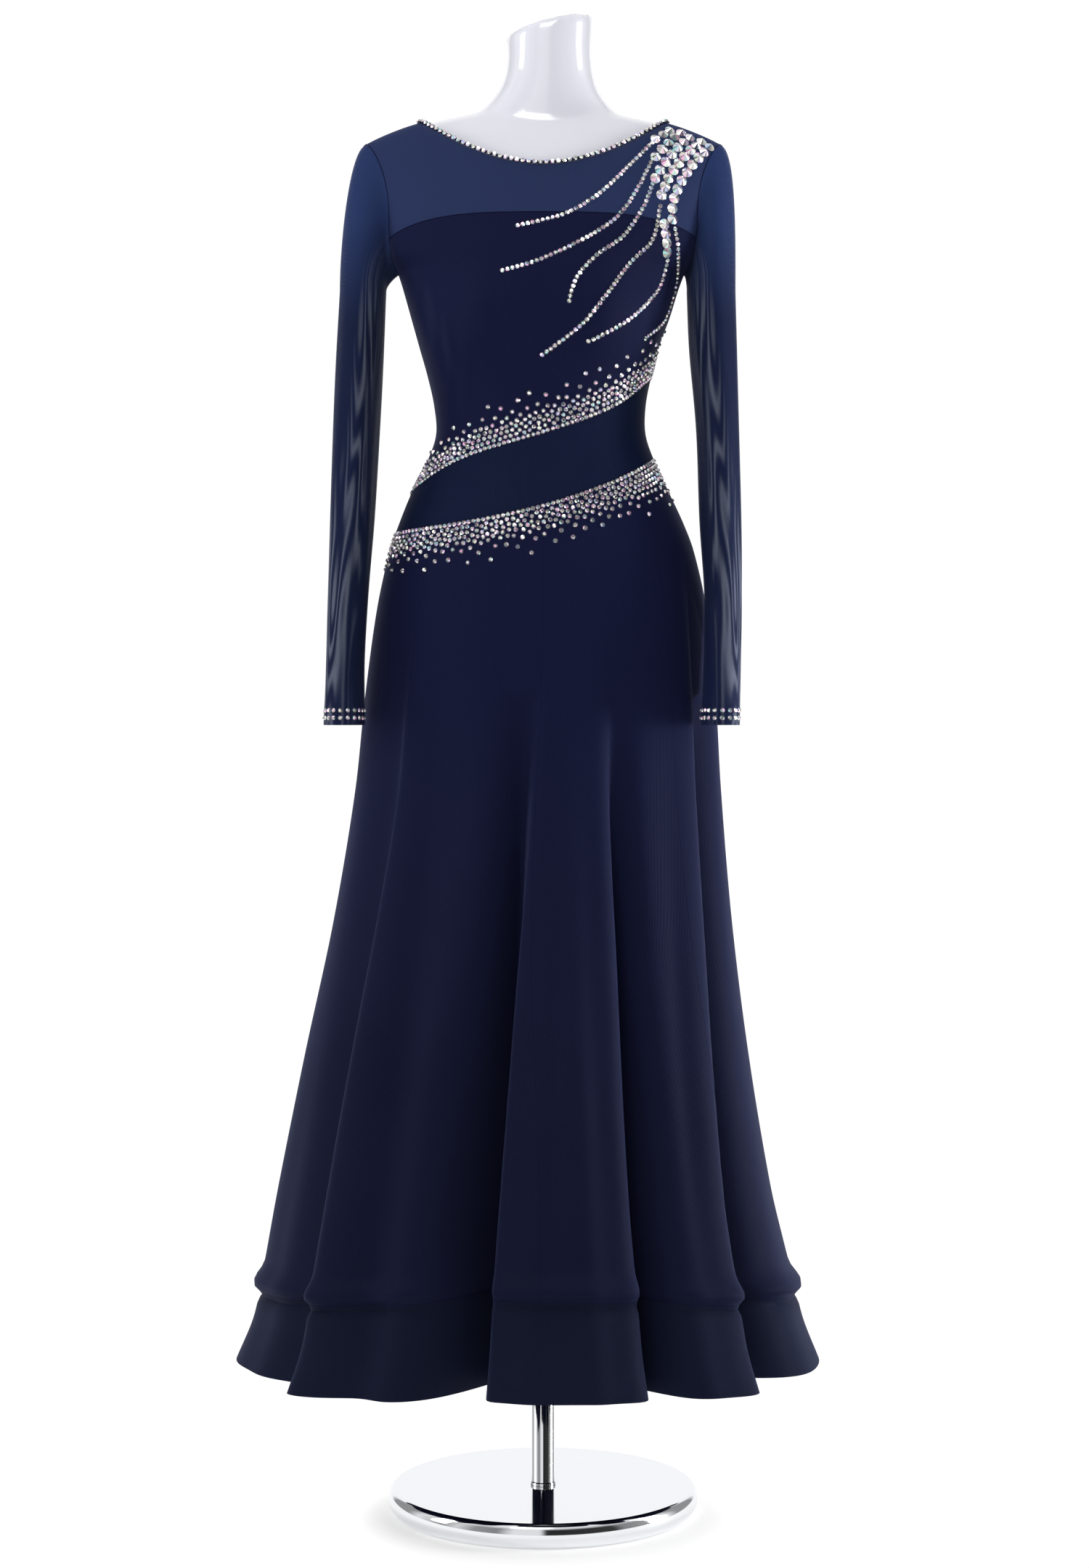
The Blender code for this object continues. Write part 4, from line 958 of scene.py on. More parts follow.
# %% Bodice and yoke
STYLE_GAP_RISE = 0.10
TUCKS = [dict(zip(("x", "z_top", "lean", "length", "depth", "half_width"), row)) for row in (
    # short creases at the side of the bust: x and z of the top, sideways drift to the bottom, sizes
    (-0.1330, 1.345, 0.012, 0.075, 0.0030, 0.0048),
    (-0.1200, 1.318, 0.018, 0.085, 0.0028, 0.0050),
    (-0.0960, 1.300, 0.002, 0.120, 0.0014, 0.0055),
    (0.1180, 1.330, -0.008, 0.080, 0.0018, 0.0050),
)]
TUCK_RIDGE = 2.2
BODICE_ROWS = 64
CHEST_ROWS = 18
YOKE_ROWS = 44
YOKE_CROWDING = 1.25
CHEST_MIDDLE_SHARE = 0.6
CHEST_MIDDLE_Z = 1.40


def tuck_depth(x, z):
    """How far the tucks sink in at a place on the front. Each has a ridge beside it."""
    total = 0.0
    for tuck in TUCKS:
        share = (tuck["z_top"] - z) / tuck["length"]
        if 0.0 < share < 1.0:
            away = (x - tuck["x"] - tuck["lean"] * share) / tuck["half_width"]
            total += tuck["depth"] * math.sin(math.pi * share) * (bell(away) - bell(away - TUCK_RIDGE))
    return total


def with_tucks(point):
    return point + Vector((0.0, tuck_depth(point.x, point.z), 0.0)) if point.y < 0 else point


def style_rises(front, gap):
    """Rise angles of the yoke's seam in each column, moved up by a gap."""
    return [rise_for_height(across, front, style_height) + gap for across in chest_columns]


def bodice_rows(front):
    """From the waist seam up to the underarm, and on up the chest to the yoke's seam."""
    waist_edge = edge_of(upper_seam, 1)
    rows = []
    for share in spaced(0.0, 1.0, BODICE_ROWS)[:-1]:
        row = []
        for across in chest_columns:
            angle = across * 90.0 if front else 180.0 - across * 90.0
            low = waist_edge(angle)
            row.append(with_tucks(section_point(angle, low + (UNDERARM_Z - low) * share)))
        rows.append(row)
    styles = style_rises(front, -STYLE_GAP_RISE)
    for share in spaced(0.0, 1.0, CHEST_ROWS):
        rows.append([shoulder_point(a, style * share, front) for a, style in zip(chest_columns, styles)])
    return rows[::-1]


def yoke_rows(front):
    """From the yoke's seam up to the neckline and the shoulder."""
    lows = style_rises(front, STYLE_GAP_RISE)
    highs = [top_rise(across, front) for across in chest_columns]
    rows = []
    for share in spaced(0.0, 1.0, YOKE_ROWS):
        shaped = 1 - (1 - share) ** YOKE_CROWDING
        row = []
        for across, low, high in zip(chest_columns, lows, highs):
            row.append(shoulder_point(across, low + (high - low) * shaped, front))
        rows.append(row)
    return rows[::-1]


def in_chest(point):
    return Vector((point.x * CHEST_MIDDLE_SHARE, 0.0, CHEST_MIDDLE_Z))


bodice_pieces = []
yoke_pieces = []
for label, is_front in (("front", True), ("back", False)):
    bodice_pieces.append(cloth_piece(f"bodice_cloth_{label}", bodice_rows(is_front), jersey))
    yoke = cloth_piece(f"yoke_cloth_{label}", yoke_rows(is_front), yoke_net, middle_of=in_chest)
    yoke_pieces.append(yoke)

# %% [markdown]
# ## Sleeves
#
# A sleeve starts at the armhole and bends down into a hanging tube. The armhole is the body's own edge,
# so each sleeve column starts at a point there and leaves it along the cloth. Below the head, a table
# gives the tube's outer and inner edge, its place in depth and half its depth. Empty net falls in long
# shallow creases, which are added as small waves round the tube that fade in below the head.

# %% Sleeve tables
SLEEVE_COLUMNS = ("z", "outer", "inner", "middle_y", "half_depth")
left_sleeve = Table(SLEEVE_COLUMNS, (
    (1.338, 0.2235, 0.1725, -0.004, 0.0560),
    (1.270, 0.2270, 0.1745, -0.009, 0.0545),
    (1.180, 0.2306, 0.1790, -0.018, 0.0505),
    (1.083, 0.2336, 0.1837, -0.032, 0.0455),
    (1.003, 0.2348, 0.1891, -0.048, 0.0410),
    (0.924, 0.2352, 0.1927, -0.066, 0.0365),
    (0.862, 0.2360, 0.1915, -0.078, 0.0335),
))
right_sleeve = Table(SLEEVE_COLUMNS, (
    (1.338, 0.2117, 0.1580, -0.004, 0.0560),
    (1.270, 0.2137, 0.1600, -0.009, 0.0545),
    (1.180, 0.2154, 0.1669, -0.020, 0.0505),
    (1.083, 0.2157, 0.1699, -0.038, 0.0455),
    (1.003, 0.2141, 0.1735, -0.062, 0.0410),
    (0.924, 0.2120, 0.1715, -0.082, 0.0365),
    (0.862, 0.2105, 0.1686, -0.092, 0.0335),
))
SLEEVE_START_Z = 1.338
CUFF_Z = 0.862
SLEEVE_SIDES = 96
SLEEVE_TUBE_ROWS = 110
SLEEVE_HEAD_ROWS = 30

# %% Sleeve shape
INSIDE_ARMHOLE = 0.97
UNDERARM_TURNS = (130.0, 230.0)
UNDERARM_BLEND = 50.0
UNDERARM_DROP = 0.45
HEAD_PUSH = 0.35
HEAD_MIDDLE_SHARE = 0.92
CREASE_DEPTH = 0.0011
CREASE_TOP_Z = SLEEVE_START_Z + 0.03
CREASE_FADE_TOP = 0.16
CREASE_FADE_CUFF = 0.05
# Two waves of creases: how many lie round the sleeve, and how fast they wind and swell down it
WIDE_CREASES = 4
WIDE_WIND = 5.0
WIDE_SWELL = 9.0
FINE_CREASES = 7
FINE_WIND = 7.0
FINE_SHARE = 0.6
SLEEVES = (("left", -1.0, left_sleeve, 0.4), ("right", 1.0, right_sleeve, 2.1))


def armhole(side, turn):
    """Point of the body's edge at the armhole and the way out of it. turn is 0 at the shoulder's
    ridge, 90 in front, 180 at the underarm and 270 behind."""
    front = turn <= 180.0
    rise = min(90.0 - (turn / 2 if front else (360.0 - turn) / 2), TOP_RISE)
    point = shoulder_point(side, rise, front)
    along = shoulder_point(side, min(rise + 1.0, 90.0), front)
    along -= shoulder_point(side, max(rise - 1.0, 0.0), front)
    along.normalize()
    out = point - shoulder_point(side * INSIDE_ARMHOLE, rise, front)
    out -= along * out.dot(along)
    out.normalize()
    first, last = UNDERARM_TURNS
    low = smooth_step((turn - first) / UNDERARM_BLEND) * smooth_step((last - turn) / UNDERARM_BLEND)
    leave = (out * (1 - low) + Vector((side, 0.0, -UNDERARM_DROP)).normalized() * low).normalized()
    gap_way = (out * (1 - low) + Vector((0.0, 0.0, 1.0)) * low).normalized()
    return point + gap_way * SEAM_GAP, leave


def sleeve_crease(turn, z, phase):
    """Depth of the long shallow creases of an empty sleeve, in metres inwards."""
    fade = smooth_step((CREASE_TOP_Z - z) / CREASE_FADE_TOP)
    fade *= smooth_step((z - CUFF_Z) / CREASE_FADE_CUFF)
    angle = math.radians(turn)
    wave = math.sin(WIDE_CREASES * angle + WIDE_WIND * z + phase) * math.sin(WIDE_SWELL * z + phase)
    wave += FINE_SHARE * math.sin(FINE_CREASES * angle - FINE_WIND * z + 2 * phase)
    return CREASE_DEPTH * fade * (1 + wave)


def tube_point(table, side, turn, z, phase):
    """Point of the hanging tube. turn is 0 at its outer edge and 90 in front."""
    crease = sleeve_crease(turn, z, phase)
    outer = table.read("outer", z)
    inner = table.read("inner", z)
    half = (outer - inner) / 2 - crease
    angle = math.radians(turn)
    x = side * ((outer + inner) / 2 + half * math.cos(angle))
    depth = table.read("half_depth", z) - crease
    return Vector((x, table.read("middle_y", z) - depth * math.sin(angle), z))


def sleeve_rows(table, side, phase):
    rows = []
    turns = spaced(0.0, 360.0, SLEEVE_SIDES)[:-1]
    edges = [armhole(side, turn) for turn in turns]
    ends = [tube_point(table, side, turn, SLEEVE_START_Z, phase) for turn in turns]
    for t in spaced(0.0, 1.0, SLEEVE_HEAD_ROWS)[:-1]:
        row = []
        for (start, leave), end in zip(edges, ends):
            span = (end - start).length
            point = start * (1 + 2 * t) * (1 - t) ** 2
            point += leave * (HEAD_PUSH * span * t * (1 - t) ** 2)
            point += end * t * t * (3 - 2 * t)
            point += Vector((0.0, 0.0, -1.0)) * (span * t * t * (t - 1))
            row.append(point)
        rows.append(row)
    for z in spaced(SLEEVE_START_Z, CUFF_Z, SLEEVE_TUBE_ROWS):
        rows.append([tube_point(table, side, turn, z, phase) for turn in turns])
    return rows


def middle_of_sleeve(table, side):
    def middle(point):
        z = min(point.z, SLEEVE_START_Z)
        x = side * (table.read("outer", z) + table.read("inner", z)) / 2
        share = HEAD_MIDDLE_SHARE if point.z > SLEEVE_START_Z else 1.0
        return Vector((x * share, table.read("middle_y", z), z))
    return middle


sleeve_pieces = []
for label, side, table, phase in SLEEVES:
    sleeve_pieces.append(cloth_piece(
        f"sleeve_cloth_{label}", sleeve_rows(table, side, phase), sleeve_net,
        closed=True, middle_of=middle_of_sleeve(table, side)))
print("sleeves:", [piece.name for piece in sleeve_pieces])

# %% [markdown]
# ## Seams, hems and binding
#
# A seam shows as a thin ridge of thread. It follows a path, so Geometry Nodes sweep a round profile
# along it: the path comes in as a line of points, and the tree turns it into a curve, gives it
# thickness and sets the thread's material. The same tree with a larger radius rolls the neck's binding.

# %% A swept cord made with Geometry Nodes
def end_tree(tree, end, made, material):
    """Hand out what a tree has made, as real faces with their material."""
    realize = add_node(tree, "GeometryNodeRealizeInstances", {"Geometry": made})
    painted = {"Geometry": (realize, "Geometry"), "Material": material}
    set_inputs(tree, end, {0: (add_node(tree, "GeometryNodeSetMaterial", painted), "Geometry")})


def cord_tree(name, material):
    """Tree that sweeps a round profile along a line of points."""
    inputs = {"Path": "Geometry", "Radius": "Float", "Sides": "Int"}
    tree, start, end = new_tree(name, "Geometry", inputs, {"Cord": "Geometry"})
    path = add_node(tree, "GeometryNodeMeshToCurve", {"Mesh": (start, "Path")})
    circle = {"Radius": (start, "Radius"), "Resolution": (start, "Sides")}
    profile = add_node(tree, "GeometryNodeCurvePrimitiveCircle", circle)
    swept = {"Curve": (path, "Curve"), "Profile Curve": (profile, "Curve"), "Fill Caps": True}
    sweep = add_node(tree, "GeometryNodeCurveToMesh", swept)
    smooth = add_node(tree, "GeometryNodeSetShadeSmooth", {"Geometry": (sweep, "Mesh")})
    end_tree(tree, end, (smooth, "Geometry"), material)
    return tree


def run_tree(name, mesh, tree, values):
    """Run a Geometry Nodes tree on a mesh and keep its result as a plain mesh object."""
    carrier = add_item(name + "_carrier", mesh)
    modifier = carrier.modifiers.new("make", "NODES")
    modifier.node_group = tree
    for socket in tree.interface.items_tree:
        if socket.name in values:
            modifier[socket.identifier] = values[socket.name]
    graph = bpy.context.evaluated_depsgraph_get()
    result = bpy.data.meshes.new_from_object(carrier.evaluated_get(graph), depsgraph=graph)
    bpy.data.objects.remove(carrier)
    print(f"{name}: {len(result.polygons)} faces")
    return add_item(name, result)


def path_mesh(paths):
    """One mesh of open or closed lines. Each path is (points, closed)."""
    points = []
    edges = []
    for line, closed in paths:
        first = len(points)
        points += [tuple(point) for point in line]
        edges += [(first + k, first + k + 1) for k in range(len(line) - 1)]
        if closed:
            edges.append((first + len(line) - 1, first))
    mesh = bpy.data.meshes.new("paths")
    mesh.from_pydata(points, edges, [])
    return mesh


seam_tree = cord_tree("seam_cord", seam_thread)

# %% Seam paths
SEAM_RADIUS = 0.0005
SEAM_SIDES = 8
GORE_SEAM_SINK = -SEAM_RADIUS * 0.8
RING_SEAM_SINK = -SEAM_RADIUS * 0.4
GORE_SEAM_STEPS = 110
RING_SEAM_STEPS = 360
ARMHOLE_STEPS = 120


def gore_seams():
    paths = []
    for number in range(GORE_COUNT):
        angle = GORE_TURN * number
        heights = spaced(edge_of(lower_seam, -1)(angle), band_seam_z(angle), GORE_SEAM_STEPS)
        paths.append(([section_point(angle, z, GORE_SEAM_SINK) for z in heights], False))
    return paths


def ring_seam(seam):
    angles = spaced(0.0, 360.0, RING_SEAM_STEPS)[:-1]
    return [section_point(angle, seam(angle), RING_SEAM_SINK) for angle in angles], True


def style_seam(front):
    rises = zip(chest_columns, style_rises(front, 0.0))
    return [shoulder_point(across, rise, front) for across, rise in rises], False


def armhole_seam(side):
    return [armhole(side, turn)[0] for turn in spaced(0.0, 360.0, ARMHOLE_STEPS)[:-1]], True


seam_paths = gore_seams()
seam_paths += [ring_seam(upper_seam), ring_seam(lower_seam), ring_seam(band_seam_z)]
seam_paths += [style_seam(True), style_seam(False), armhole_seam(-1.0), armhole_seam(1.0)]
seam_values = {"Radius": SEAM_RADIUS, "Sides": SEAM_SIDES}
seams = run_tree("seam_threads", path_mesh(seam_paths), seam_tree, seam_values)

# %% Neck binding
BINDING_RADIUS = 0.0018
BINDING_SIDES = 12
BINDING_LIFT = 0.0006
HIGHEST_NORMAL_RISE = 88.0
AT_SHOULDER_POINT = 0.002
STEP_ACROSS = 0.004
STEP_UP = 0.5
INWARD_RISE = 0.06


def neckline():
    """Points round the neckline, front then back, with the cloth's outward normal at each."""
    loop = []
    for columns, is_front in ((neck_places, True), (neck_places[-2:0:-1], False)):
        for across in columns:
            rise = top_rise(across, is_front)
            point = shoulder_point(across, rise, is_front)
            near = min(rise, HIGHEST_NORMAL_RISE)
            du = shoulder_point(across + STEP_ACROSS, near, is_front)
            du -= shoulder_point(across - STEP_ACROSS, near, is_front)
            dv = shoulder_point(across, near + STEP_UP, is_front)
            dv -= shoulder_point(across, near - STEP_UP, is_front)
            normal = du.cross(dv).normalized()
            normal = normal if is_front else -normal
            if abs(abs(point.x) - SHOULDER_POINT_X) < AT_SHOULDER_POINT:
                normal = Vector((0.0, 0.0, 1.0))
            loop.append((point, normal))
    return loop


def binding_line():
    loop = neckline()
    line = []
    for index, (point, normal) in enumerate(loop):
        along = (loop[(index + 1) % len(loop)][0] - loop[index - 1][0]).normalized()
        inward = normal.cross(along).normalized()
        if inward.dot(Vector((-point.x, 0.0, INWARD_RISE))) < 0:
            inward = -inward
        line.append((point + normal * BINDING_LIFT + inward * BINDING_RADIUS, normal))
    return line


bound_edge = binding_line()
binding_path = path_mesh([([point for point, normal in bound_edge], True)])
binding_values = {"Radius": BINDING_RADIUS, "Sides": BINDING_SIDES}
binding = run_tree("neck_binding_cloth", binding_path, seam_tree, binding_values)

# %% [markdown]
# ## Crystals
#
# Each stone is a small cut cone: a flat back, sloping facets and a small flat top, or a point on the
# large ones. Geometry Nodes place one stone at each point of a cloud, turned to the point's own normal
# and scaled to its size, with a seeded spin so that the facets don't line up. Every stone also takes a
# tone from its point. Its material turns the tone and the way each facet faces into a colour: the
# coating's tints, and painted dark and bright facets that stand in for the room's reflections.

# %% Crystal material
# Tints of the coating, with painted near-black and near-white stops that stand in for dark and bright
# reflections in the facets
CRYSTAL_TINTS_AND_PAINTED_GLINTS = (
    (0.00, (0.95, 0.92, 0.84)), (0.10, (0.24, 0.24, 0.28)), (0.20, (0.94, 0.93, 0.88)),
    (0.31, (0.90, 0.40, 0.72)), (0.42, (0.96, 0.94, 0.86)), (0.53, (0.18, 0.18, 0.22)),
    (0.62, (0.88, 0.90, 0.72)), (0.72, (0.38, 0.78, 0.78)), (0.81, (0.58, 0.48, 0.92)),
    (0.90, (0.96, 0.94, 0.90)),
)
TINT_AND_GLINT_TURNS_ACROSS = 0.90
TINT_AND_GLINT_TURNS_UP = 0.60


def make_crystal_with_painted_glints():
    """Coated crystal: each facet takes a colour from the way it faces and from its stone's own tone: the
    coating's tints, with painted glints and painted dark facets in place of reflections.
    """
    material, tree, shader = new_material("coated_crystal_painted_glints", roughness=0.12, metallic=0.75)
    place = add_node(tree, "ShaderNodeTexCoord")
    split = add_node(tree, "ShaderNodeSeparateXYZ", {"Vector": (place, "Normal")})
    tone = add_node(tree, "ShaderNodeAttribute", attribute_name="tone")
    # The way a facet faces picks its tint, a painted glint or a painted dark facet
    across = math_node(tree, "MULTIPLY", (split, "X"), TINT_AND_GLINT_TURNS_ACROSS)
    up = math_node(tree, "MULTIPLY", (split, "Z"), TINT_AND_GLINT_TURNS_UP)
    total = math_node(tree, "ADD", math_node(tree, "ADD", across, up), (tone, "Fac"))
    tint_and_glint = colour_ramp(tree, math_node(tree, "FRACT", total), CRYSTAL_TINTS_AND_PAINTED_GLINTS)
    set_inputs(tree, shader, {"Base Color": tint_and_glint, "IOR": 1.6, "Coat Weight": 0.3})
    return material


crystal = make_crystal_with_painted_glints()


# %% Stone tree
def named_value(tree, name, kind):
    return add_node(tree, "GeometryNodeInputNamedAttribute", {"Name": name}, data_type=kind), "Attribute"


def stone_tree(name, facets, table_share, depth_share):
    """Tree that puts a faceted stone on every point. Sizes are shares of a stone's radius."""
    inputs = {"Points": "Geometry", "Seed": "Int"}
    tree, start, end = new_tree(name, "Geometry", inputs, {"Stones": "Geometry"})
    stone = add_node(tree, "GeometryNodeMeshCone", {
        "Vertices": facets, "Radius Top": table_share, "Radius Bottom": 1.0, "Depth": depth_share,
    })
    spin_range = {3: 2 * math.pi, "Seed": (start, "Seed")}
    spin = add_node(tree, "FunctionNodeRandomValue", spin_range, data_type="FLOAT")
    about = add_node(tree, "ShaderNodeCombineXYZ", {"Z": (spin, 1)})
    turn = add_node(tree, "FunctionNodeEulerToRotation", {0: (about, 0)})
    aligned = {"Rotation": (turn, 0), "Vector": named_value(tree, "facing", "FLOAT_VECTOR")}
    align = add_node(tree, "FunctionNodeAlignRotationToVector", aligned, axis="Z")
    place = add_node(tree, "GeometryNodeInstanceOnPoints", {
        "Points": (start, "Points"), "Instance": (stone, "Mesh"),
        "Rotation": (align, "Rotation"), "Scale": named_value(tree, "size", "FLOAT"),
    })
    end_tree(tree, end, (place, "Instances"), crystal)
    return tree


small_tree = stone_tree("small_stones", facets=8, table_share=0.52, depth_share=0.62)
large_tree = stone_tree("pointed_stones", facets=12, table_share=0.0, depth_share=0.72)
tone_random = random.Random(11)
STONE_TILT = 0.12


def tilted(normal):
    """The normal with a small random lean, as hand-set stones have."""
    lean = Vector([tone_random.uniform(-STONE_TILT, STONE_TILT) for axis in range(3)])
    return (normal + lean).normalized()


def make_stones(name, spots, tree, seed):
    """Stones at (point, normal, radius) spots."""
    points, normals, radii = zip(*[(point, tilted(normal), radius) for point, normal, radius in spots])
    mesh = bpy.data.meshes.new(name + "_spots")
    mesh.from_pydata([tuple(point) for point in points], [], [])
    for label, kind, field, values in (
        ("size", "FLOAT", "value", radii),
        ("facing", "FLOAT_VECTOR", "vector", [value for normal in normals for value in normal]),
        ("tone", "FLOAT", "value", [tone_random.random() for spot in spots]),
    ):
        mesh.attributes.new(label, kind, "POINT").data.foreach_set(field, values)
    declare(run_tree(name, mesh, tree, {"Seed": seed}))


# %% [markdown]
# ## Where the stones lie
#
# The trim is the usual kind for a dance gown, laid out by rule: a row round the neckline, two rows on
# each cuff, a dense edge on each waist seam that thins out away from it, and strands that fall from
# the shoulder's cluster in easy curves. A strand is a smooth curve through a few places seen from
# the front, and each stone is dropped onto the cloth behind that curve.

# %% Rows on the neckline and cuffs
STONE_RADIUS = 0.0027
STONE_PITCH = 0.0064
CUFF_STONE_RADIUS = 0.0026
CUFF_STONE_PITCH = 0.0085
CUFF_ROWS = (0.0075, 0.0155)
CUFF_STEPS = 72


def even_spots(line, pitch, radius, closed=True):
    """Spots a pitch apart along a line of (point, normal) pairs."""
    spots = []
    pairs = list(zip(line, line[1:] + line[:1])) if closed else list(zip(line, line[1:]))
    total = sum((after[0] - before[0]).length for before, after in pairs)
    step = total / max(round(total / pitch), 1)
    waiting = 0.0
    for before, after in pairs:
        span = (after[0] - before[0]).length
        while waiting < span:
            share = waiting / span
            normal = (before[1] * (1 - share) + after[1] * share).normalized()
            spots.append((before[0].lerp(after[0], share), normal, radius))
            waiting += step
        waiting -= span
    if not closed and (line[-1][0] - spots[-1][0]).length > step / 2:
        spots.append((line[-1][0], line[-1][1], radius))
    return spots


neck_line = [(point + normal * BINDING_RADIUS, normal) for point, normal in bound_edge]
neck_spots = even_spots(neck_line, STONE_PITCH, STONE_RADIUS)


def cuff_line(table, side, z, phase):
    line = []
    for turn in spaced(0.0, 360.0, CUFF_STEPS)[:-1]:
        angle = math.radians(turn)
        normal = Vector((side * math.cos(angle), -math.sin(angle), 0.0))
        line.append((tube_point(table, side, turn, z, phase), normal))
    return line


cuff_spots = []
for _, side, table, phase in SLEEVES:
    for above in CUFF_ROWS:
        line = cuff_line(table, side, CUFF_Z + above, phase)
        cuff_spots += even_spots(line, CUFF_STONE_PITCH, CUFF_STONE_RADIUS)
make_stones("crystals_neckline", neck_spots, small_tree, 1)
make_stones("crystals_cuffs", cuff_spots, small_tree, 2)

# %% Graduated bands on the waist seams
BAND_PITCH = 0.0055
BAND_STONE_RADIUS = 0.0027
BAND_STONE_RANGE = (0.94, 1.06)
BAND_EDGE = 0.0028
BAND_DENSE = 0.023
BAND_REACH = 0.051
BAND_LAYER = 0.0008
BAND_TRIES = 480
BAND_EDGE_STEPS = 240
TURN_STEP = 0.5
HEIGHT_STEP = 0.002
TRY_SHIFT = 0.4
FIRST_LAYER = BAND_EDGE + BAND_PITCH * 0.8
WIDEST_SHARE = 1.9
WIDENING = 1.2
CELL = BAND_PITCH * (1 + WIDEST_SHARE)
NEAR_CELLS = [(i, j, k) for i in (-1, 0, 1) for j in (-1, 0, 1) for k in (-1, 0, 1)]


def band_spacing(away):
    """Distance between stones at a distance from the seam."""
    past = max(away - BAND_DENSE, 0.0) / (BAND_REACH - BAND_DENSE)
    return BAND_PITCH * (1 + WIDEST_SHARE * past ** WIDENING)


def section_frame(angle, z):
    point = section_point(angle, z)
    du = section_point(angle + TURN_STEP, z) - section_point(angle - TURN_STEP, z)
    dv = section_point(angle, z + HEIGHT_STEP) - section_point(angle, z - HEIGHT_STEP)
    return point, du.cross(dv).normalized()


def graduated_band(seam, direction, seed):
    """Stones along a seam: an even first row, then layers of tries that are kept when no stone lies
    nearer than the spacing at their distance. direction is 1 upwards and -1 downwards."""
    chance = random.Random(seed)
    edge = []
    for angle in spaced(0.0, 360.0, BAND_EDGE_STEPS)[:-1]:
        edge.append(section_frame(angle, seam(angle) + direction * BAND_EDGE))
    spots = even_spots(edge, BAND_PITCH, BAND_STONE_RADIUS)
    taken = {}

    def cell_of(point):
        return tuple(math.floor(value / CELL) for value in point)

    def take(point):
        taken.setdefault(cell_of(point), []).append(point)

    def is_free(point, spacing):
        here = cell_of(point)
        for shift in NEAR_CELLS:
            for other in taken.get(tuple(a + b for a, b in zip(here, shift)), ()):
                if (other - point).length < spacing:
                    return False
        return True

    for point, normal, radius in spots:
        take(point)
    away = FIRST_LAYER
    while away < BAND_REACH:
        first = chance.uniform(0.0, 360.0)
        for index in range(BAND_TRIES):
            angle = first + 360.0 * (index + chance.uniform(-TRY_SHIFT, TRY_SHIFT)) / BAND_TRIES
            z = seam(angle) + direction * away
            point = section_point(angle, z)
            if is_free(point, band_spacing(away)):
                take(point)
                radius = BAND_STONE_RADIUS * chance.uniform(*BAND_STONE_RANGE)
                spots.append((point, section_frame(angle, z)[1], radius))
        away += BAND_LAYER
    return spots


band_spots = graduated_band(upper_seam, 1.0, 5) + graduated_band(lower_seam, -1.0, 6)
make_stones("crystals_waist", band_spots, small_tree, 3)

# %% Strands from the shoulder
STRANDS = (
    # places (x, z) seen from the front, in metres
    ((0.1200, 1.5040), (0.0960, 1.4802), (0.0616, 1.4482), (0.0232, 1.4258), (-0.0280, 1.4130)),
    ((0.1208, 1.4866), (0.1032, 1.4522), (0.0808, 1.4218), (0.0424, 1.3970), (-0.0040, 1.3754),
     (-0.0448, 1.3634)),
    ((0.1210, 1.4590), (0.1096, 1.4314), (0.0880, 1.4010), (0.0592, 1.3802), (0.0368, 1.3554),
     (0.0288, 1.3298)),
    ((0.1290, 1.4340), (0.1208, 1.3970), (0.0960, 1.3714), (0.0688, 1.3354), (0.0424, 1.3034),
     (-0.0008, 1.2698)),
    ((0.1372, 1.3740), (0.1312, 1.3514), (0.1224, 1.3354), (0.0960, 1.3098), (0.0616, 1.2898),
     (0.0500, 1.2850)),
    ((0.1456, 1.4090), (0.1488, 1.3850), (0.1472, 1.3500), (0.1344, 1.3090), (0.1128, 1.2880)),
)
STRAND_PITCH = 0.0055
STRAND_STONE_RADIUS = 0.0027
PATH_STEPS = 12


def tree_of(pieces):
    """A search tree over several pieces' outer faces, for dropping stones onto them."""
    points = []
    faces = []
    for piece in pieces:
        first = len(points)
        points += [vertex.co.copy() for vertex in piece.data.vertices]
        faces += [tuple(first + index for index in polygon.vertices) for polygon in piece.data.polygons]
    return BVHTree.FromPolygons(points, faces)


front_cloth = tree_of([yoke_pieces[0], bodice_pieces[0], insert_pieces[0], sleeve_pieces[1]])


def on_front(x, z):
    """The front cloth's point and normal where a sight line through (x, 0, z) meets it."""
    sight = (Vector((x, 0.0, z)) - CAMERA_PLACE).normalized()
    point, normal, _, _ = front_cloth.ray_cast(CAMERA_PLACE, sight)
    if point is None:
        return None
    return point, normal if normal.dot(sight) < 0 else -normal


def smooth_path(places):
    """A smooth curve through a few (x, z) places."""
    path = []
    for index in range(len(places) - 1):
        before = places[max(index - 1, 0)]
        start = places[index]
        end = places[index + 1]
        after = places[min(index + 2, len(places) - 1)]
        for t in spaced(0.0, 1.0, PATH_STEPS)[:-1]:
            place = []
            for a, b, c, d in zip(before, start, end, after):
                place.append(0.5 * (2 * b + (c - a) * t + (2 * a - 5 * b + 4 * c - d) * t * t
                                    + (3 * b - a - 3 * c + d) * t ** 3))
            path.append(place)
    path.append(places[-1])
    return path


def spots_on_paths(paths, pitch, radius):
    spots = []
    for places in paths:
        line = [on_front(x, z) for x, z in smooth_path(places)]
        line = [pair for pair in line if pair]
        spots += even_spots(line, pitch, radius, closed=False)
    return spots


strand_spots = spots_on_paths(STRANDS, STRAND_PITCH, STRAND_STONE_RADIUS)
make_stones("crystals_strands", strand_spots, small_tree, 4)

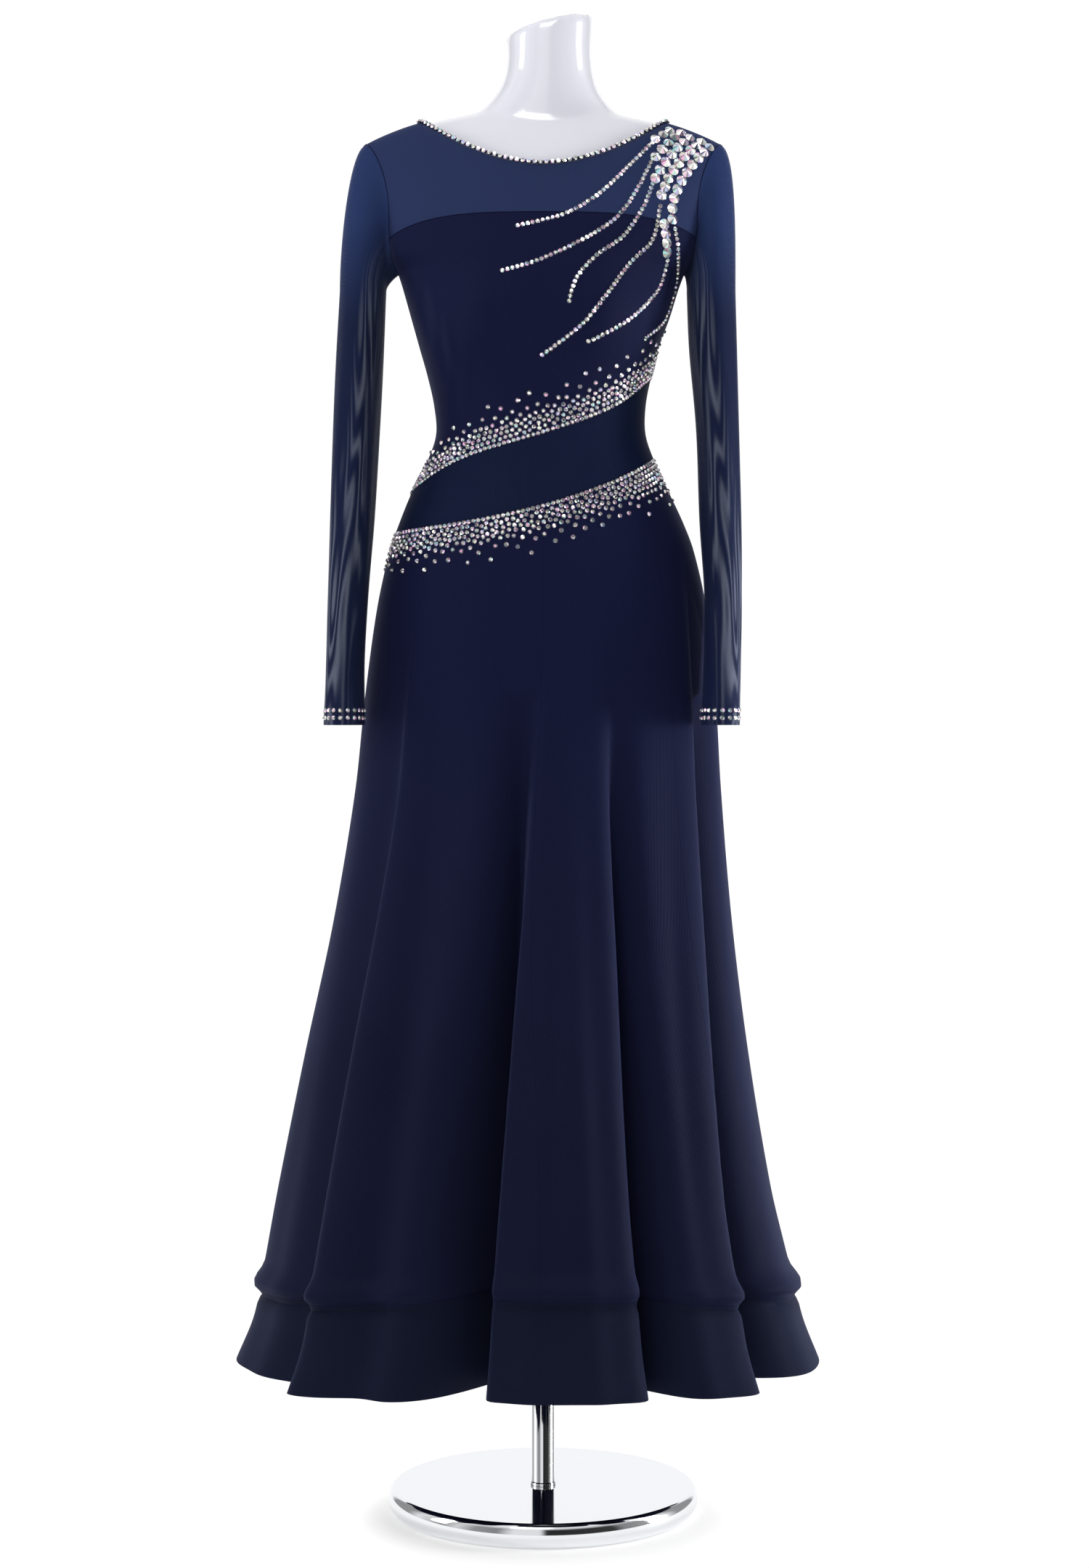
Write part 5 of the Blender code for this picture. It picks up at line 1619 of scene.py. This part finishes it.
# %% Large pointed stones on the shoulder
POINTED_RADIUS = 0.0061
POINTED_PITCH = 0.0112
SHOULDER_FAN = (
    # places (x, z) seen from the front, in metres, each string from the shoulder down to its strand
    ((0.1400, 1.5170), (0.1312, 1.5128), (0.1243, 1.5080)),
    ((0.1523, 1.5145), (0.1428, 1.5089), (0.1299, 1.4955), (0.1243, 1.4886)),
    ((0.1622, 1.5093), (0.1514, 1.5016), (0.1402, 1.4891), (0.1282, 1.4727), (0.1239, 1.4645)),
    ((0.1745, 1.5050), (0.1592, 1.4925), (0.1420, 1.4714), (0.1338, 1.4546), (0.1303, 1.4460)),
    ((0.1835, 1.4990), (0.1635, 1.4787), (0.1489, 1.4550), (0.1433, 1.4369), (0.1424, 1.4197)),
    ((0.1334, 1.4137), (0.1351, 1.4046), (0.1368, 1.3826)),
)
pointed_spots = spots_on_paths(SHOULDER_FAN, POINTED_PITCH, POINTED_RADIUS)
make_stones("crystals_shoulder", pointed_spots, large_tree, 7)

# %% [markdown]
# ## Dress form
#
# The form is one smooth moulded body. The solid has few faces, so a copy of it is welded, remeshed into
# small even quads and smoothed, which also rounds the join of neck and shoulders as on the real
# moulding. The neck's top is then cut flat on its slant, since that edge is sharp. It then stands for
# the solid.

# %% Form
NECK_CUT = Vector((0.007, 0.0, 1.6300))
NECK_CUT_WAY = Vector((-0.024, 0.0, 0.096)).normalized()
WELD_DISTANCE = 0.00002
QUAD_SIZE = 0.0045
SMOOTHINGS = 12
FORM_SHARP_ANGLE = math.radians(40)


def weld(mesh):
    shape = bmesh.new()
    shape.from_mesh(mesh)
    bmesh.ops.remove_doubles(shape, verts=shape.verts, dist=WELD_DISTANCE)
    shape.to_mesh(mesh)
    shape.free()


def cut_neck(mesh):
    """Cut the neck off on its slant and close it with one flat face."""
    shape = bmesh.new()
    shape.from_mesh(mesh)
    everything = shape.verts[:] + shape.edges[:] + shape.faces[:]
    cut = bmesh.ops.bisect_plane(
        shape, geom=everything, plane_co=NECK_CUT, plane_no=NECK_CUT_WAY, clear_outer=True)
    rim = [edge for edge in cut["geom_cut"] if isinstance(edge, bmesh.types.BMEdge)]
    bmesh.ops.holes_fill(shape, edges=rim)
    shape.to_mesh(mesh)
    shape.free()


def make_form():
    form = add_item("form_shell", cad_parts["form_torso"].data.copy())
    weld(form.data)
    remesh = form.modifiers.new("even_faces", "REMESH")
    remesh.mode = "VOXEL"
    remesh.voxel_size = QUAD_SIZE
    soften = form.modifiers.new("soften", "SMOOTH")
    soften.factor = 0.5
    soften.iterations = SMOOTHINGS
    graph = bpy.context.evaluated_depsgraph_get()
    mesh = bpy.data.meshes.new_from_object(form.evaluated_get(graph), depsgraph=graph)
    form.modifiers.clear()
    form.data = mesh
    cut_neck(mesh)
    mesh.shade_smooth()
    mesh.set_sharp_from_angle(angle=FORM_SHARP_ANGLE)
    mesh.materials.clear()
    mesh.materials.append(form_finish)
    declare(form, "form_torso")
    print("form faces:", len(mesh.polygons))


make_form()

# %% [markdown]
# ## Stand
#
# The base and pole are turned metal, so a profile is spun round the pole's axis. The base's profile is
# half of a flat disc with a fully rounded rim. The plate and collar under the form are hidden by the
# skirt and keep their solids with the same chrome.

# %% Base and pole
METAL_SHARP_ANGLE = math.radians(35)
BASE_SIDES = 160
BASE_OUT = 0.0006
BASE_RIM_SHARE = 0.62
BASE_RIM_STEP = 10
BASE_FLAT_EDGE = 0.0015
POLE_SIDES = 72
RING_OUT = 0.0011
RING_TALL = 0.0028


def turned(name, profile, sides, node):
    """Solid of revolution from a profile of (radius, z) points, in place of a node."""
    shape = bmesh.new()
    turns = [2 * math.pi * k / sides for k in range(sides)]
    grid = []
    for radius, z in profile:
        grid.append([shape.verts.new((radius * math.cos(a), radius * math.sin(a), z)) for a in turns])
    for below, above in zip(grid, grid[1:]):
        for k in range(sides):
            shape.faces.new((below[k], below[(k + 1) % sides], above[(k + 1) % sides], above[k]))
    shape.faces.new(grid[0][::-1])
    shape.faces.new(grid[-1])
    bmesh.ops.recalc_face_normals(shape, faces=shape.faces[:])
    mesh = bpy.data.meshes.new(name)
    shape.to_mesh(mesh)
    shape.free()
    mesh.shade_smooth()
    mesh.set_sharp_from_angle(angle=METAL_SHARP_ANGLE)
    mesh.materials.append(chrome)
    declare(add_item(name, mesh), node)


def base_profile():
    low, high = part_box("base_disc")
    radius = (high.x - low.x) / 2 + BASE_OUT
    half = (high.z - low.z) / 2
    rim = []
    for degrees in range(-90, 91, BASE_RIM_STEP):
        turn = math.radians(degrees)
        edge = radius - half * BASE_RIM_SHARE * (1 - math.cos(turn))
        rim.append((edge, half * (1 + math.sin(turn))))
    inner = rim[-1][0] - BASE_FLAT_EDGE
    return [(inner, 0.0)] + rim + [(inner, 2 * half)]


def pole_profile():
    low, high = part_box("pole")
    radius = (high.x - low.x) / 2
    return (
        (radius + RING_OUT, low.z), (radius + RING_OUT, low.z + RING_TALL),
        (radius + RING_OUT / 3, low.z + RING_TALL + RING_OUT / 2),
        (radius, low.z + RING_TALL + RING_OUT), (radius, high.z),
    )


turned("round_base", base_profile(), BASE_SIDES, "base_disc")
turned("chrome_pole", pole_profile(), POLE_SIDES, "pole")
for node in ("form_plate", "pole_collar"):
    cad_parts[node].data.materials.clear()
    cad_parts[node].data.materials.append(chrome)

# %% [markdown]
#
# Every sewn piece takes the place of its solid, and the size it was cut to is printed. The jersey and
# net stretch over the form, so the measured size is close to the cut.

# %% Sheets
for number, (gore, band) in enumerate(skirt_pieces, 1):
    declare_sheet(gore, f"gore_{number}")
    declare_sheet(band, f"hem_band_{number}")
for piece, label in zip(insert_pieces, ("front", "back")):
    declare_sheet(piece, f"waist_insert_{label}")
for piece, label in zip(bodice_pieces, ("front", "back")):
    declare_sheet(piece, f"bodice_{label}")
declare(binding, "neck_binding")
declare(seams)
declare_sheet(yoke_pieces[0], "yoke_front")
declare_sheet(yoke_pieces[1], "yoke_back")
for piece, label in zip(sleeve_pieces, ("left", "right")):
    declare_sheet(piece, f"sleeve_{label}")
